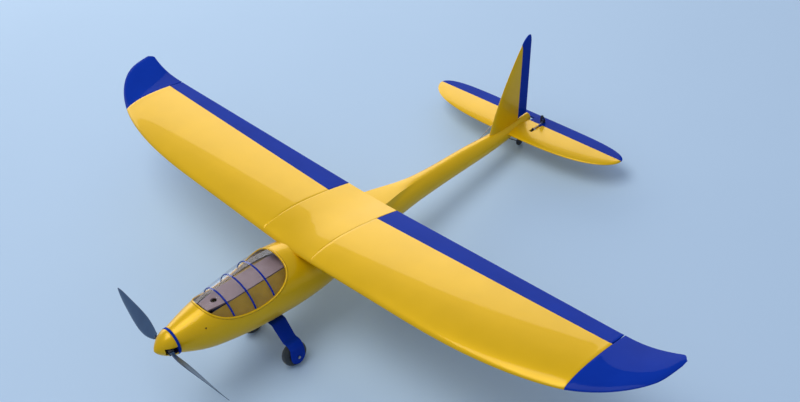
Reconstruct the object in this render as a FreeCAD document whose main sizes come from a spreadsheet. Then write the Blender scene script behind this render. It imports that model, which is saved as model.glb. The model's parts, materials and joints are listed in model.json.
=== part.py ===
"""RC electric glider: a span of about 1.45 m, folding propeller, taildragger wheels.

Everything is drawn in aircraft axes: X to the left wing, Y towards the tail, Z up, with the
thrust line parallel to Y. ATTITUDE then stands the finished aircraft on its three wheels.
"""
import FreeCAD, Part
import math
import os
import Sketcher
from FreeCAD import Placement, Rotation, Vector

# --------------------------------------------------------------------------- driving sizes, mm
SIZES = {
    # wing
    "centre_half": 69.0, "panel_end": 612.0, "wing_end": 727.0,
    "lead_y": -163.5, "lead_bend_start": 300.0, "lead_bend_power": 2.45,
    "trail_y": 52.0, "trail_taper": 0.0425, "tip_trail_dip": 5.0,
    "lead_z": -8.0, "lead_rise": 0.057, "trail_z": -16.6, "trail_rise": 0.0757,
    "upsweep": 24.0, "upsweep_start": 600.0, "upsweep_power": 1.6,
    "camber": 0.025, "root_thickness": 0.12, "end_thickness": 0.10, "tip_thickness": 0.075,
    "trail_edge": 0.8, "hinge_y": 0.6, "hinge_sweep": 0.0085, "aileron_end": 611.0,
    "seam": 0.4, "hinge_gap": 0.6, "end_gap": 0.8,
    "joiner_rad": 4.0, "joiner_reach": 210.0, "joiner_y": -100.0, "saddle_gap": 0.4,
    # fuselage
    "nose_y": -420.4, "nose_rad": 25.2, "thrust_z": -52.0, "skin": 1.4,
    "canopy_y": -278.5, "canopy_z": 4.0, "canopy_half": 90.0, "canopy_deep": 52.0,
    "canopy_gap": 0.5, "canopy_skin": 1.0, "frame_width": 3.2,
    "hoop_y": -279.5, "hoop_step": 40.0, "hoop_width": 3.0, "hoop_count": 3,
    "tray_z": -24.0, "tray_thick": 3.0, "tray_half": 23.0, "tray_front": -352.0, "tray_rear": -172.0,
    # power
    "motor_rad": 14.0, "shaft_rad": 2.5, "firewall_thick": 3.0,
    "ring_rad": 25.8, "ring_thick": 4.4, "spinner_length": 33.4, "spinner_wall": 1.2,
    "prop_tilt": 7.4, "pivot_x": 18.5, "pivot_ahead": 17.6,
    "pin_rad": 1.25, "run_gap": 0.06, "yoke_high": 11.0, "yoke_thick": 9.0, "tab_high": 4.2,
    # tail
    "stab_half": 255.0, "stab_hinge_y": 494.0, "stab_z": -53.5, "stab_fore": 71.0,
    "stab_aft": 29.0, "stab_thick": 10.0, "fin_foot_y": 381.6, "fin_foot_z": -42.0,
    "fin_top_z": 129.0, "rudder_top_z": 144.0, "rudder_foot_y": 468.2, "rudder_foot_z": -38.5,
    "rudder_lean": 0.1252, "rudder_chord": 26.8, "fin_thick": 9.0, "fin_bulge": 3.5,
    # landing gear
    "wheel_rad": 25.4, "wheel_wide": 16.0, "wheel_x": 65.0, "wheel_y": -229.0, "wheel_z": -183.0,
    "rim_rad": 13.0, "axle_rad": 1.5, "leg_wide": 31.0, "leg_thick": 3.0, "paddle_rad": 15.5,
    "belly_z": -121.4, "tail_wheel_rad": 9.0, "tail_wheel_y": 472.0, "tail_wheel_z": -100.7,
    "tail_wire_rad": 1.0, "origin_y": 33.9,
}

doc = FreeCAD.newDocument("rc_glider")
sheet = doc.addObject("Spreadsheet::Sheet", "sizes")
for row, (alias, number) in enumerate(SIZES.items(), start=1):
    sheet.set("A%d" % row, alias)
    sheet.set("B%d" % row, str(number))
    sheet.setAlias("B%d" % row, alias)
doc.recompute()


def size(alias):
    """The number in a named cell of the sheet."""
    return float(sheet.get(alias))


def standing_attitude():
    """The turn and lift that put both main wheels and the tail wheel on the floor z = 0."""
    run = size("tail_wheel_y") - size("wheel_y")
    drop = size("tail_wheel_z") - size("wheel_z")
    step = size("wheel_rad") - size("tail_wheel_rad")
    pitch = math.atan2(drop, run) + math.asin(step / math.hypot(run, drop))
    turn = Rotation(Vector(1, 0, 0), -math.degrees(pitch))
    wheel = turn.multVec(Vector(0, size("wheel_y"), size("wheel_z")))
    return Placement(Vector(0, -size("origin_y"), size("wheel_rad") - wheel.z), turn)


ATTITUDE = standing_attitude()
SUB_PARTS = []


def keep(obj, label, local=Placement()):
    """Names a finished sub-part and stands it with the rest of the aircraft."""
    obj.Label = label
    obj.Placement = ATTITUDE * local
    SUB_PARTS.append(obj)
    return obj


def keep_shape(shape, label, local=Placement()):
    """A sub-part whose shape comes from lofts or other free surfaces."""
    obj = doc.addObject("Part::Feature", label)
    obj.Shape = shape
    return keep(obj, label, local)


def primitive(kind, name, bindings, base=(0, 0, 0), turn=Rotation()):
    """A Part primitive whose properties are bound to cells of the sheet."""
    obj = doc.addObject("Part::" + kind, name)
    for prop, expression in bindings.items():
        obj.setExpression(prop, expression)
    obj.Placement = Placement(Vector(*base), turn)
    return obj


def join(name, pieces):
    """Several solids as one object: fused where they touch, a group where they do not."""
    obj = doc.addObject("Part::MultiFuse", name)
    obj.Shapes = pieces
    return obj


def remove(name, base, tool):
    """base with tool cut out of it."""
    obj = doc.addObject("Part::Cut", name)
    obj.Base = base
    obj.Tool = tool
    return obj


ALONG_X = Rotation(Vector(0, 1, 0), 90)
ALONG_Y = Rotation(Vector(1, 0, 0), -90)


def solid_box(low, high):
    """An axis-aligned block between two corners."""
    span = [high[i] - low[i] for i in range(3)]
    return Part.makeBox(span[0], span[1], span[2], Vector(*low))


def rod(start, end, radius):
    """A round bar from start to end."""
    start = Vector(*start)
    end = Vector(*end)
    return Part.makeCylinder(radius, (end - start).Length, start, end - start)


def bent_rod(points, radius):
    """A round wire through the points, with a ball at each bend."""
    wire = rod(points[0], points[1], radius)
    for first, second in zip(points[1:-1], points[2:]):
        wire = wire.fuse(Part.makeSphere(radius, Vector(*first)))
        wire = wire.fuse(rod(first, second, radius))
    return wire.removeSplitter()


# --------------------------------------------------------------------------- sketched bodies
PLANES = {"XY": "XY_Plane", "XZ": "XZ_Plane", "YZ": "YZ_Plane"}


def sketch_in(body, plane, name):
    """A sketch attached to one of the body's own origin planes."""
    sketch = body.newObject("Sketcher::SketchObject", name)
    support = [f for f in body.Origin.OriginFeatures if f.Role == PLANES[plane]][0]
    sketch.AttachmentSupport = [(support, "")]
    sketch.MapMode = "FlatFace"
    return sketch


def bind(sketch, kind, target, expression):
    """Adds one dimension to the sketch and ties it to the sheet."""
    value = sketch.evalExpression(expression)
    value = float(getattr(value, "Value", value))
    index = sketch.addConstraint(Sketcher.Constraint(kind, *target, value))
    sketch.setExpression("Constraints[%d]" % index, expression)


def polygon(sketch, corners):
    """A closed outline whose corners are pairs of expressions."""
    first = sketch.GeometryCount
    points = []
    for pair in corners:
        numbers = [sketch.evalExpression(text) for text in pair]
        points.append(Vector(*[float(getattr(n, "Value", n)) for n in numbers], 0))
    count = len(points)
    for i in range(count):
        sketch.addGeometry(Part.LineSegment(points[i], points[(i + 1) % count]), False)
    for i in range(count):
        following = first + (i + 1) % count
        sketch.addConstraint(Sketcher.Constraint("Coincident", first + i, 2, following, 1))
    for i, pair in enumerate(corners):
        bind(sketch, "DistanceX", (-1, 1, first + i, 1), pair[0])
        bind(sketch, "DistanceY", (-1, 1, first + i, 1), pair[1])


def circle(sketch, centre, radius):
    """A circle placed and sized by expressions."""
    index = sketch.GeometryCount
    numbers = [sketch.evalExpression(text) for text in (centre[0], centre[1], radius)]
    x, y, r = [float(getattr(n, "Value", n)) for n in numbers]
    sketch.addGeometry(Part.Circle(Vector(x, y, 0), Vector(0, 0, 1), r), False)
    bind(sketch, "DistanceX", (-1, 1, index, 3), centre[0])
    bind(sketch, "DistanceY", (-1, 1, index, 3), centre[1])
    bind(sketch, "Radius", (index,), radius)


def turned(name, corners):
    """A body of revolution: corners are (radius, height) pairs about the body's Z axis."""
    body = doc.addObject("PartDesign::Body", name)
    sketch = sketch_in(body, "XZ", name + "_profile")
    polygon(sketch, corners)
    feature = body.newObject("PartDesign::Revolution", name + "_turn")
    feature.Profile = sketch
    feature.ReferenceAxis = (sketch, ["V_Axis"])
    feature.Angle = 360.0
    body.Tip = feature
    return body


def plate(name, plane, corners, thickness, holes=()):
    """A flat plate padded both ways from its plane, with round holes through it."""
    body = doc.addObject("PartDesign::Body", name)
    sketch = sketch_in(body, plane, name + "_outline")
    polygon(sketch, corners)
    for centre, radius in holes:
        circle(sketch, centre, radius)
    pad = body.newObject("PartDesign::Pad", name + "_pad")
    pad.Profile = sketch
    pad.SideType = "Symmetric"
    pad.setExpression("Length", thickness)
    body.Tip = pad
    return body


# --------------------------------------------------------------------------- wing surfaces
def lead_edge_y(x):
    """Straight out to the bend, then a curve that sweeps back into the tip."""
    start = size("lead_bend_start")
    part = max(0.0, (x - start) / (size("wing_end") + 1.0 - start))
    root = math.sqrt(1.0 - part ** size("lead_bend_power"))
    return size("lead_y") * root


def trail_edge_y(x):
    """Tapers along the aileron, then runs straight with a shallow hollow into the tip."""
    end = size("panel_end")
    straight = size("trail_y") - size("trail_taper") * min(x, end)
    part = max(0.0, (x - end) / (size("wing_end") - end))
    return straight - size("tip_trail_dip") * math.sin(math.pi * part) + 2.0 * part


def upsweep(x):
    """How far the tip lifts above the straight dihedral."""
    start = size("upsweep_start")
    part = max(0.0, (x - start) / (size("wing_end") - start))
    return size("upsweep") * part ** size("upsweep_power")


def thickness_ratio(x):
    """Thickness over chord: eases from root to panel end, then thins into the tip."""
    end = size("panel_end")
    if x <= end:
        return size("root_thickness") + (size("end_thickness") - size("root_thickness")) * x / end
    part = (x - end) / (size("wing_end") - end)
    return size("end_thickness") + (size("tip_thickness") - size("end_thickness")) * part


def half_thickness(s):
    """Half thickness of a unit-thick wing section at chord fraction s, with a closed tail."""
    cubic = 0.2843 * s ** 3 - 0.1036 * s ** 4
    return 5.0 * (0.2969 * math.sqrt(s) - 0.1260 * s - 0.3516 * s ** 2 + cubic)


def camber_line(s):
    """Mean line height at chord fraction s, highest at 40 % of the chord."""
    peak = 0.4
    if s < peak:
        return size("camber") / peak ** 2 * (2 * peak * s - s * s)
    return size("camber") / (1 - peak) ** 2 * (1 - 2 * peak + 2 * peak * s - s * s)


def wing_height(x, y, side):
    """Height of the wing skin at a point: side +1 for the top, -1 for the bottom."""
    x = abs(x)
    lead = lead_edge_y(x)
    chord = trail_edge_y(x) - lead
    s = min(max((y - lead) / chord, 0.0), 1.0)
    base = size("lead_z") + size("lead_rise") * x
    tail = size("trail_z") + size("trail_rise") * x
    level = base + (tail - base) * s + upsweep(x)
    half = half_thickness(s) * thickness_ratio(x) * chord + size("trail_edge") / 2 * s
    return level + camber_line(s) * chord + side * half


SECTION_STEPS = 14


def section_wire(x, grow=0.0):
    """The wing section at span station x, swollen by grow on every side."""
    lead = lead_edge_y(abs(x))
    chord = trail_edge_y(abs(x)) - lead
    rims = []
    for side in (1, -1):
        points = []
        for i in range(SECTION_STEPS + 1):
            s = 1.0 - math.cos(math.pi / 2 * i / SECTION_STEPS)
            ahead = grow * (1.0 - s) * (1.0 if i == 0 else 0.0)
            y = lead + chord * s - ahead + grow * s
            z = wing_height(x, lead + chord * s, side) + side * grow * (0.0 if i == 0 else 1.0)
            points.append(Vector(x, y, z))
        rims.append(points)
    curves = []
    for points in rims:
        curve = Part.BSplineCurve()
        curve.interpolate(points)
        curves.append(curve.toShape())
    close = Part.makeLine(rims[0][-1], rims[1][-1])
    return Part.Wire(Part.__sortEdges__([curves[0], close, curves[1]]))


def wing_solid(stations, grow=0.0, ruled=False):
    """The solid wing through the given span stations."""
    return Part.makeLoft([section_wire(x, grow) for x in stations], True, ruled)


def spread(first, last, count):
    """count + 1 evenly spaced numbers."""
    return [first + (last - first) * i / count for i in range(count + 1)]


def hinge_point(x):
    """The aileron hinge axis at span station x, and half the wing's thickness there."""
    y = size("hinge_y") - size("hinge_sweep") * abs(x)
    top = wing_height(x, y, 1)
    bottom = wing_height(x, y, -1)
    return Vector(x, y, (top + bottom) / 2), (top - bottom) / 2


def hinge_cone(x_first, x_last, grow):
    """The round nose of an aileron: a cone about the hinge axis."""
    start, start_rad = hinge_point(x_first)
    end, end_rad = hinge_point(x_last)
    length = (end - start).Length
    return Part.makeCone(start_rad + grow, end_rad + grow, length, start, end - start)


def behind_hinge(x_first, x_last, forward=0.0):
    """Everything behind the hinge axis, or behind a line so far ahead of it, between two stations."""
    start, _ = hinge_point(x_first)
    end, _ = hinge_point(x_last)
    far = 120.0
    low = -80.0
    corners = [Vector(start.x, start.y - forward, low), Vector(end.x, end.y - forward, low)]
    corners += [Vector(end.x, far, low), Vector(start.x, far, low), corners[0]]
    return Part.Face(Part.makePolygon(corners)).extrude(Vector(0, 0, 240))


def mirrored(shape):
    """The same shape on the other side of the aircraft."""
    return shape.mirror(Vector(0, 0, 0), Vector(1, 0, 0))


def sided(shape, sign):
    """The left-hand shape for sign +1, its mirror image for sign -1."""
    return shape if sign > 0 else mirrored(shape)


SIDES = (("left", 1), ("right", -1))
ARM_X = 330.0            # span station of each aileron servo arm
ARM_REACH = 11.0         # servo arm and horn radius, equal so that the linkage is a parallelogram
ROD_SPAN = 46.0          # length of the aileron pushrod between its two pivots


def linkage(x):
    """Hinge axis point, horn pivot, arm axis and arm pivot of an aileron linkage."""
    axis, _ = hinge_point(x)
    horn = axis + Vector(0, 0, -ARM_REACH - 4.0)
    step = Vector(0, -ROD_SPAN, 0)
    return axis, horn, axis + step, horn + step


def joiner_shape(grow, reach):
    """The bent spar rod that carries both panels at the dihedral angle."""
    y = size("joiner_y")
    halves = []
    for sign in (1, -1):
        middle = [(wing_height(x, y, 1) + wing_height(x, y, -1)) / 2 for x in (0.0, reach)]
        halves.append(rod((0, y, middle[0]), (sign * reach, y, middle[1]), size("joiner_rad") + grow))
    centre = Part.makeSphere(size("joiner_rad") + grow, Vector(0, y, middle[0]))
    return halves[0].fuse([halves[1], centre]).removeSplitter()


PIN_RAD = 1.0
PIN_HOLD = 9.0


def aileron_pin(x_end, inward):
    """Line of the hinge pin at one end of an aileron: it reaches PIN_HOLD into each side."""
    start, _ = hinge_point(size("centre_half"))
    end, _ = hinge_point(size("aileron_end"))
    along = (end - start).normalize()
    middle, _ = hinge_point(x_end)
    return middle - along * PIN_HOLD * inward, middle + along * PIN_HOLD * inward


def build_wing():
    """Centre section, two panels, two swept-up tips, two ailerons and what is inside them."""
    half = size("centre_half")
    end = size("panel_end")
    seam = size("seam") / 2
    joiner = joiner_shape(0.0, size("joiner_reach"))
    socket = joiner_shape(0.1, size("joiner_reach") + 2.0)
    keep_shape(joiner, "wing_joiner")

    centre = wing_solid([-(half - seam), 0.0, half - seam], ruled=True).cut(socket)
    for y in (-120.0, 10.0):
        centre = centre.cut(rod((0, y, -40), (0, y, -4), 2.6))
    pins = []
    centre_pins = []
    for x_end in (half, size("aileron_end")):
        first, last = aileron_pin(x_end, 1)
        pins.append(rod(first, last, PIN_RAD))
        centre_pins.append(rod(first, last, PIN_RAD + 0.05))
    pin_holes = centre_pins[0].fuse(centre_pins[1])
    for sign in (1, -1):
        centre = centre.cut(sided(pin_holes, sign))
    keep_shape(centre, "wing_centre")

    panel = wing_solid([half + seam] + spread(140.0, end - seam, 8))
    panel = panel.cut(behind_hinge(half - 5, end + 1, size("hinge_gap"))).cut(pin_holes)
    panel = panel.cut(hinge_cone(half - 5, size("aileron_end") + 0.2, size("hinge_gap")))
    panel = panel.cut(socket)
    pocket = servo_pocket(0.0)
    panel = panel.cut(pocket)

    first = half + size("end_gap")
    last = size("aileron_end") - size("end_gap")
    whole = wing_solid([first] + spread(140.0, last, 8))
    tail = whole.common(behind_hinge(first, last))
    nose = whole.common(hinge_cone(first, last, 0.0))
    aileron = tail.fuse(nose).removeSplitter().cut(pin_holes)
    horn_axis, horn_pivot, arm_axis, arm_pivot = linkage(ARM_X)
    turn = (hinge_point(size("aileron_end"))[0] - hinge_point(half)[0]).normalize()
    horn = aileron_horn(horn_axis, horn_pivot, turn)
    aileron = aileron.fuse(horn).removeSplitter()

    tip_stations = [end + seam, 630.0, 650.0, 672.0, 692.0, 708.0, 719.0, size("wing_end") - 1.5]
    tip = wing_solid(tip_stations).cut(centre_pins[1])
    aileron_root = size("aileron_end")
    tip_block = wing_solid([aileron_root + 0.2, end + seam])
    tip_block = tip_block.common(behind_hinge(aileron_root, end + 1))
    tip = tip.fuse(tip_block.cut(pin_holes)).removeSplitter()

    for name, sign in SIDES:
        keep_shape(sided(panel, sign), name + "_wing_panel")
        keep_shape(sided(tip, sign), name + "_wing_tip")
        keep_shape(sided(aileron, sign), name + "_aileron")
        keep_shape(sided(servo_arm(arm_axis, arm_pivot, turn), sign), name + "_aileron_servo_arm")
        keep_shape(sided(link_rod(arm_pivot, horn_pivot, turn), sign), name + "_aileron_pushrod")
    servo = wing_servo(arm_axis)
    keep_shape(Part.makeCompound([servo, mirrored(servo)]), "aileron_servos")
    cover = pocket_cover(arm_axis)
    keep_shape(Part.makeCompound([cover, mirrored(cover)]), "servo_covers")
    return pins


SERVO_LONG = 24.0
SERVO_WIDE = 9.0
SERVO_DEEP = 10.5
SERVO_LOW = -4.2         # underside of the servo case, measured from the arm's axis


def servo_pocket(shrink):
    """The rectangular well in the underside of each panel, shrunk on all sides by shrink."""
    _, _, arm_axis, _ = linkage(ARM_X)
    low = (ARM_X - 20.0 + shrink, arm_axis.y - 22.0 + shrink, -40.0)
    high = (ARM_X + 12.0 - shrink, arm_axis.y + 12.0 - shrink, arm_axis.z + 6.7)
    return solid_box(low, high)


def wing_servo(arm_axis):
    """A small servo lying in the well, its output boss beside the arm."""
    x = ARM_X - 3.2
    low = (x - SERVO_WIDE, arm_axis.y - 16.0, arm_axis.z + SERVO_LOW)
    high = (x, arm_axis.y - 16.0 + SERVO_LONG, arm_axis.z + SERVO_LOW + SERVO_DEEP)
    boss = rod((x - 1, arm_axis.y, arm_axis.z), (x + 1.2, arm_axis.y, arm_axis.z), 3.4)
    return solid_box(low, high).fuse(boss).removeSplitter()


def pocket_cover(arm_axis):
    """A thin cover flush with the underside skin, slotted for the servo arm."""
    x_low = ARM_X - 20.0 + 0.3
    x_high = ARM_X + 12.0 - 0.3
    skin = wing_solid([x_low, x_high]).cut(wing_solid_raised(x_low, x_high, 1.0))
    cover = skin.common(servo_pocket(0.3))
    slot = solid_box((ARM_X - 2.6, arm_axis.y - 9, -60), (ARM_X + 2.6, arm_axis.y + 12, 60))
    return largest(cover.cut(slot))


def wing_solid_raised(x_low, x_high, lift):
    """The wing between two stations, lifted by the cover's thickness."""
    solid = wing_solid([x_low - 1, x_high + 1])
    solid.translate(Vector(0, 0, lift))
    return solid


def largest(shape):
    """The biggest solid of a shape."""
    return sorted(shape.Solids, key=lambda solid: solid.Volume)[-1]


def arm_outline(axis, pivot, boss_rad, end_rad, width, turn):
    """A tapered lever, padded along X, between two round ends that turn about a given direction."""
    boss = Part.makeCylinder(boss_rad, width, axis - turn * (width / 2), turn)
    end = Part.makeCylinder(end_rad, width, pivot - turn * (width / 2), turn)
    along = (pivot - axis).normalize()
    across = Vector(0, along.z, -along.y)
    corners = [axis + across * boss_rad * 0.9, pivot + across * end_rad * 0.9]
    corners += [pivot - across * end_rad * 0.9, axis - across * boss_rad * 0.9]
    corners = [corner - Vector(width / 2, 0, 0) for corner in corners]
    web = Part.Face(Part.makePolygon(corners + corners[:1])).extrude(Vector(width, 0, 0))
    return boss.fuse([end, web]).removeSplitter()


LINK_RAD = 0.8
LINK_PLAY = 0.2          # room round a pushrod end in its hole
ACROSS = Vector(1, 0, 0)


def servo_arm(axis, pivot, turn=ACROSS):
    """The arm on a servo's output boss, with a hole for the pushrod."""
    arm = arm_outline(axis, pivot, 2.6, 1.9, 1.6, turn)
    return arm.cut(rod(pivot - turn * 3, pivot + turn * 3, LINK_RAD + LINK_PLAY))


def link_rod(start, end, turn=ACROSS):
    """A wire pushrod whose ends turn through the arm and the horn."""
    side = turn * 3.2
    tip = turn * 1.6
    return bent_rod([start - tip, start + side, end + side, end - tip], LINK_RAD)


def aileron_horn(axis, pivot, turn):
    """A blade under the aileron that carries the pushrod pivot."""
    width = 1.6
    back = axis + Vector(0, 14, 0)
    x = Vector(width / 2, 0, 0)
    corners = [axis + Vector(0, 1.5, 0), back, pivot + Vector(0, 2.4, -1.2), pivot + Vector(0, -1.8, -1.8)]
    corners.append(pivot + Vector(0, -2.2, 1.0))
    corners = [corner - x for corner in corners]
    blade = Part.Face(Part.makePolygon(corners + corners[:1])).extrude(x * 2)
    return blade.cut(rod(pivot - turn * 3, pivot + turn * 3, LINK_RAD + LINK_PLAY))


# --------------------------------------------------------------------------- fuselage surfaces
# Each station: y, half width, top z, bottom z, shoulder x, and how flat the deck is (0 to 1).
HULL = (
    (-420.4, 25.2, -26.8, -77.2, 17.8, 0.0), (-380.0, 39.8, -16.8, -96.0, 28.1, 0.0),
    (-330.0, 50.6, -7.6, -108.8, 35.8, 0.0), (-280.0, 57.4, -1.6, -116.2, 40.6, 0.0),
    (-230.0, 61.8, 3.0, -119.3, 43.7, 0.0), (-180.0, 63.4, 0.6, -120.8, 44.8, 0.0),
    (-130.0, 61.5, -6.5, -118.5, 43.5, 0.0), (-60.0, 54.0, -9.0, -110.0, 40.0, 0.3),
    (0.0, 45.0, -14.0, -97.0, 36.0, 0.8), (53.0, 37.8, -17.5, -87.5, 31.0, 1.0),
    (100.0, 31.6, -22.0, -82.5, 20.0, 1.0), (150.0, 26.6, -27.2, -79.2, 12.0, 0.6),
    (210.0, 22.8, -32.6, -77.6, 8.0, 0.2), (300.0, 19.8, -36.4, -76.4, 6.5, 0.0),
    (380.0, 16.2, -42.2, -75.2, 5.5, 0.0), (450.0, 11.4, -46.4, -69.8, 4.0, 0.0),
    (501.0, 7.5, -46.6, -62.0, 2.6, 0.0),
)
DECK_CROWN = 0.8
POD_STATIONS = 13                        # how many of the stations above bound the pod
BORE_FRONT = (199.0, -54.9, 19.5)        # y, z and radius where the boom's bore starts
BORE_REAR = (382.0, -58.8, 13.8)         # y, z and radius where it ends


def spline_edge(points):
    """One smooth edge through the points."""
    curve = Part.BSplineCurve()
    curve.interpolate(points)
    return curve.toShape()


def hull_wire(station, inset):
    """One cross-section: a top edge between two shoulders, and a round edge below it."""
    y, half, top, bottom, shoulder, flat = station
    if inset:
        half, top, bottom, flat = half - inset, top - inset, bottom + inset, 0.0
    middle = (top + bottom) / 2
    tall = (top - bottom) / 2
    crown = []
    for part in (1.0, 0.5, 0.0, -0.5, -1.0):
        x = shoulder * part
        arc = middle + tall * math.sqrt(1 - (x / half) ** 2)
        crown.append(Vector(x, y, arc + (top - DECK_CROWN * part * part - arc) * flat))
    start = math.asin(shoulder / half)
    steps = 14
    below = [crown[-1]]
    for i in range(1, steps):
        turn = start + (2 * math.pi - 2 * start) * i / steps
        below.append(Vector(-half * math.sin(turn), y, middle + tall * math.cos(turn)))
    below.append(crown[0])
    return Part.Wire([spline_edge(crown), spline_edge(below)])


def hull_solid(inset=0.0, last=len(HULL)):
    """The fuselage volume, or its hollow when inset is the skin thickness."""
    stations = list(HULL[:last])
    return Part.makeLoft([hull_wire(station, inset) for station in stations], True, False)


def pod_hollow(inset):
    """The hollow of the pod, from the nose back to where the boom's own bore takes over."""
    hollow = hull_solid(inset, POD_STATIONS)
    return hollow.cut(solid_box((-90, BORE_FRONT[0] + 1, -140), (90, BORE_REAR[0] + 100, 60)))


def boom_bore():
    """The straight tapered bore of the tail boom."""
    front = Vector(0, BORE_FRONT[0], BORE_FRONT[1])
    rear = Vector(0, BORE_REAR[0], BORE_REAR[1])
    return Part.makeCone(BORE_FRONT[2], BORE_REAR[2], (rear - front).Length, front, rear - front)


def canopy_prism(grow):
    """The upright oval seen from the side that bounds the canopy opening."""
    centre = Vector(-100, size("canopy_y"), size("canopy_z"))
    oval = Part.Ellipse(centre, size("canopy_half") + grow, size("canopy_deep") + grow)
    edge = oval.toShape()
    edge.rotate(centre, Vector(0, 0, 1), 90)
    edge.rotate(centre, Vector(0, 1, 0), 90)
    return Part.Face(Part.Wire([edge])).extrude(Vector(200, 0, 0))


def ring_slab(y, width):
    """A slab across the fuselage, width thick along it."""
    return solid_box((-90, y - width / 2, -140), (90, y + width / 2, 60))


def build_hull():
    """Shell with its openings, and the clear canopy with its frame and hoops."""
    skin = size("skin")
    outer = hull_solid()
    hollow = pod_hollow(skin).fuse(boom_bore())
    nose = size("nose_y")
    hollow = hollow.cut(solid_box((-90, nose - 5, -140), (90, nose + skin, 60)))
    shell = outer.cut(hollow)
    shell = shell.cut(rod((0, nose - 1, size("thrust_z")), (0, nose + 8, size("thrust_z")), 16.0))
    shell = shell.cut(canopy_prism(0.0).common(ring_slab(size("canopy_y"), 400)))
    saddle = wing_solid([-80.0, 0.0, 80.0], size("saddle_gap"), True)
    above = saddle.copy()
    above.translate(Vector(0, 0, 14))
    shell = shell.cut(saddle.fuse(above))
    shell = shell.cut(stab_solid(0.4))
    shell = shell.cut(fin_solid(0.3))
    shell = shell.cut(solid_box((-12.6, 341, -50), (-9.0, 362, -34)))
    screws = [rod((x, size("wheel_y"), -130), (x, size("wheel_y"), -100), 1.6) for x in (-9, 9)]
    shell = shell.cut(screws[0].fuse(screws[1]))
    shell = shell.cut(rod((0, 440, -80), (0, 440, -60), 1.1))
    shell = shell.cut(rod((30, -372, -36), (42, -372, -36), 1.6))
    keep_shape(largest(shell), "fuselage_shell")

    gap = size("canopy_gap")
    band = outer.cut(pod_hollow(size("canopy_skin")))
    rim = canopy_prism(-gap).cut(canopy_prism(-gap - size("frame_width")))
    frame = largest(band.common(rim))
    glass = largest(band.common(canopy_prism(-gap - size("frame_width") - 0.05)))
    keep_shape(frame, "canopy_frame")
    keep_shape(glass, "canopy_glass")
    liner = pod_hollow(size("canopy_skin") + 0.15).cut(pod_hollow(size("canopy_skin") + 1.9))
    inside = liner.common(canopy_prism(-gap - size("frame_width") - 0.4))
    hoops = []
    for i in range(int(size("hoop_count"))):
        y = size("hoop_y") + (i - 1) * size("hoop_step")
        hoops.append(largest(inside.common(ring_slab(y, size("hoop_width")))))
    keep_shape(Part.makeCompound(hoops), "canopy_hoops")


# --------------------------------------------------------------------------- tail surfaces
def lens_wire(point, chord_dir, thick_dir, chord, thick):
    """A symmetric thin section starting at point: two curves that meet at nose and tail."""
    rims = []
    steps = 8
    for side in (1, -1):
        points = []
        for i in range(steps + 1):
            s = 1.0 - math.cos(math.pi / 2 * i / steps)
            half = half_thickness(s) * thick + 0.35 * s
            points.append(point + chord_dir * (chord * s) + thick_dir * (side * half))
        rims.append(points)
    curves = []
    for points in rims:
        curve = Part.BSplineCurve()
        curve.interpolate(points)
        curves.append(curve.toShape())
    close = Part.makeLine(rims[0][-1], rims[1][-1])
    return Part.Wire(Part.__sortEdges__([curves[0], close, curves[1]]))


def stab_edges(x):
    """Leading and trailing edge of the tailplane at span station x."""
    part = min(abs(x) / size("stab_half"), 1.0)
    lead = size("stab_hinge_y") - size("stab_fore") * math.sqrt(max(0.0, 1 - part ** 3))
    trail = size("stab_hinge_y") + size("stab_aft") * math.sqrt(max(0.0, 1 - part ** 6))
    return lead, trail


def stab_wire(x, grow):
    """One tailplane section, swollen by grow."""
    lead, trail = stab_edges(x)
    part = abs(x) / size("stab_half")
    thick = size("stab_thick") * (1.0 - 0.55 * part ** 3) + 2 * grow
    start = Vector(x, lead - grow, size("stab_z"))
    return lens_wire(start, Vector(0, 1, 0), Vector(0, 0, 1), trail - lead + 2 * grow, thick)


def stab_solid(grow=0.0):
    """Fixed tailplane and elevator as one volume."""
    stations = [-253.0, -246.0, -232.0, -205.0, -160.0, -90.0, 0.0]
    stations += [-x for x in stations[-2::-1]]
    return Part.makeLoft([stab_wire(x, grow) for x in stations], True, False)


def fin_lead_y(z):
    """Leading edge of fin and rudder: nearly straight, slightly convex, rounded at the top."""
    foot_y = size("fin_foot_y")
    foot_z = size("fin_foot_z")
    top_y = rudder_hinge_y(size("fin_top_z")) - 1.0
    part = (z - foot_z) / (size("fin_top_z") - foot_z)
    bulge = size("fin_bulge") * 4 * part * (1 - part)
    if part <= 1.0:
        return foot_y + (top_y - foot_y) * part - bulge
    over = (z - size("fin_top_z")) / (size("rudder_top_z") - size("fin_top_z"))
    return top_y + 17.0 * over ** 1.5 + 2.0 * over


def rudder_hinge_y(z):
    """The rudder hinge line leans back as it rises."""
    return size("rudder_foot_y") + size("rudder_lean") * (z - size("rudder_foot_z"))


def fin_wire(z, grow):
    """One section of fin and rudder at height z."""
    lead = fin_lead_y(z)
    trail = rudder_hinge_y(z) + size("rudder_chord")
    if z > size("fin_top_z"):
        trail = size("rudder_foot_y") + size("rudder_lean") * 167.5 + size("rudder_chord")
    part = (z - size("fin_foot_z")) / (size("rudder_top_z") - size("fin_foot_z"))
    thick = size("fin_thick") * (1.0 - 0.55 * part) + 2 * grow
    start = Vector(0, lead - grow, z)
    return lens_wire(start, Vector(0, 1, 0), Vector(1, 0, 0), trail - lead + 2 * grow, thick)


def fin_solid(grow=0.0):
    """Fin and rudder as one volume; the fin's foot is let into the top of the boom."""
    levels = [-47.6, -42.0] + spread(-20.0, size("fin_top_z"), 14)
    levels += [134.0, 138.0, 141.0, 142.8, 143.6]
    if grow:
        levels = [-47.6 - grow, -42.0, 0.0]
    return Part.makeLoft([fin_wire(z, grow) for z in levels], True, True)


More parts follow.
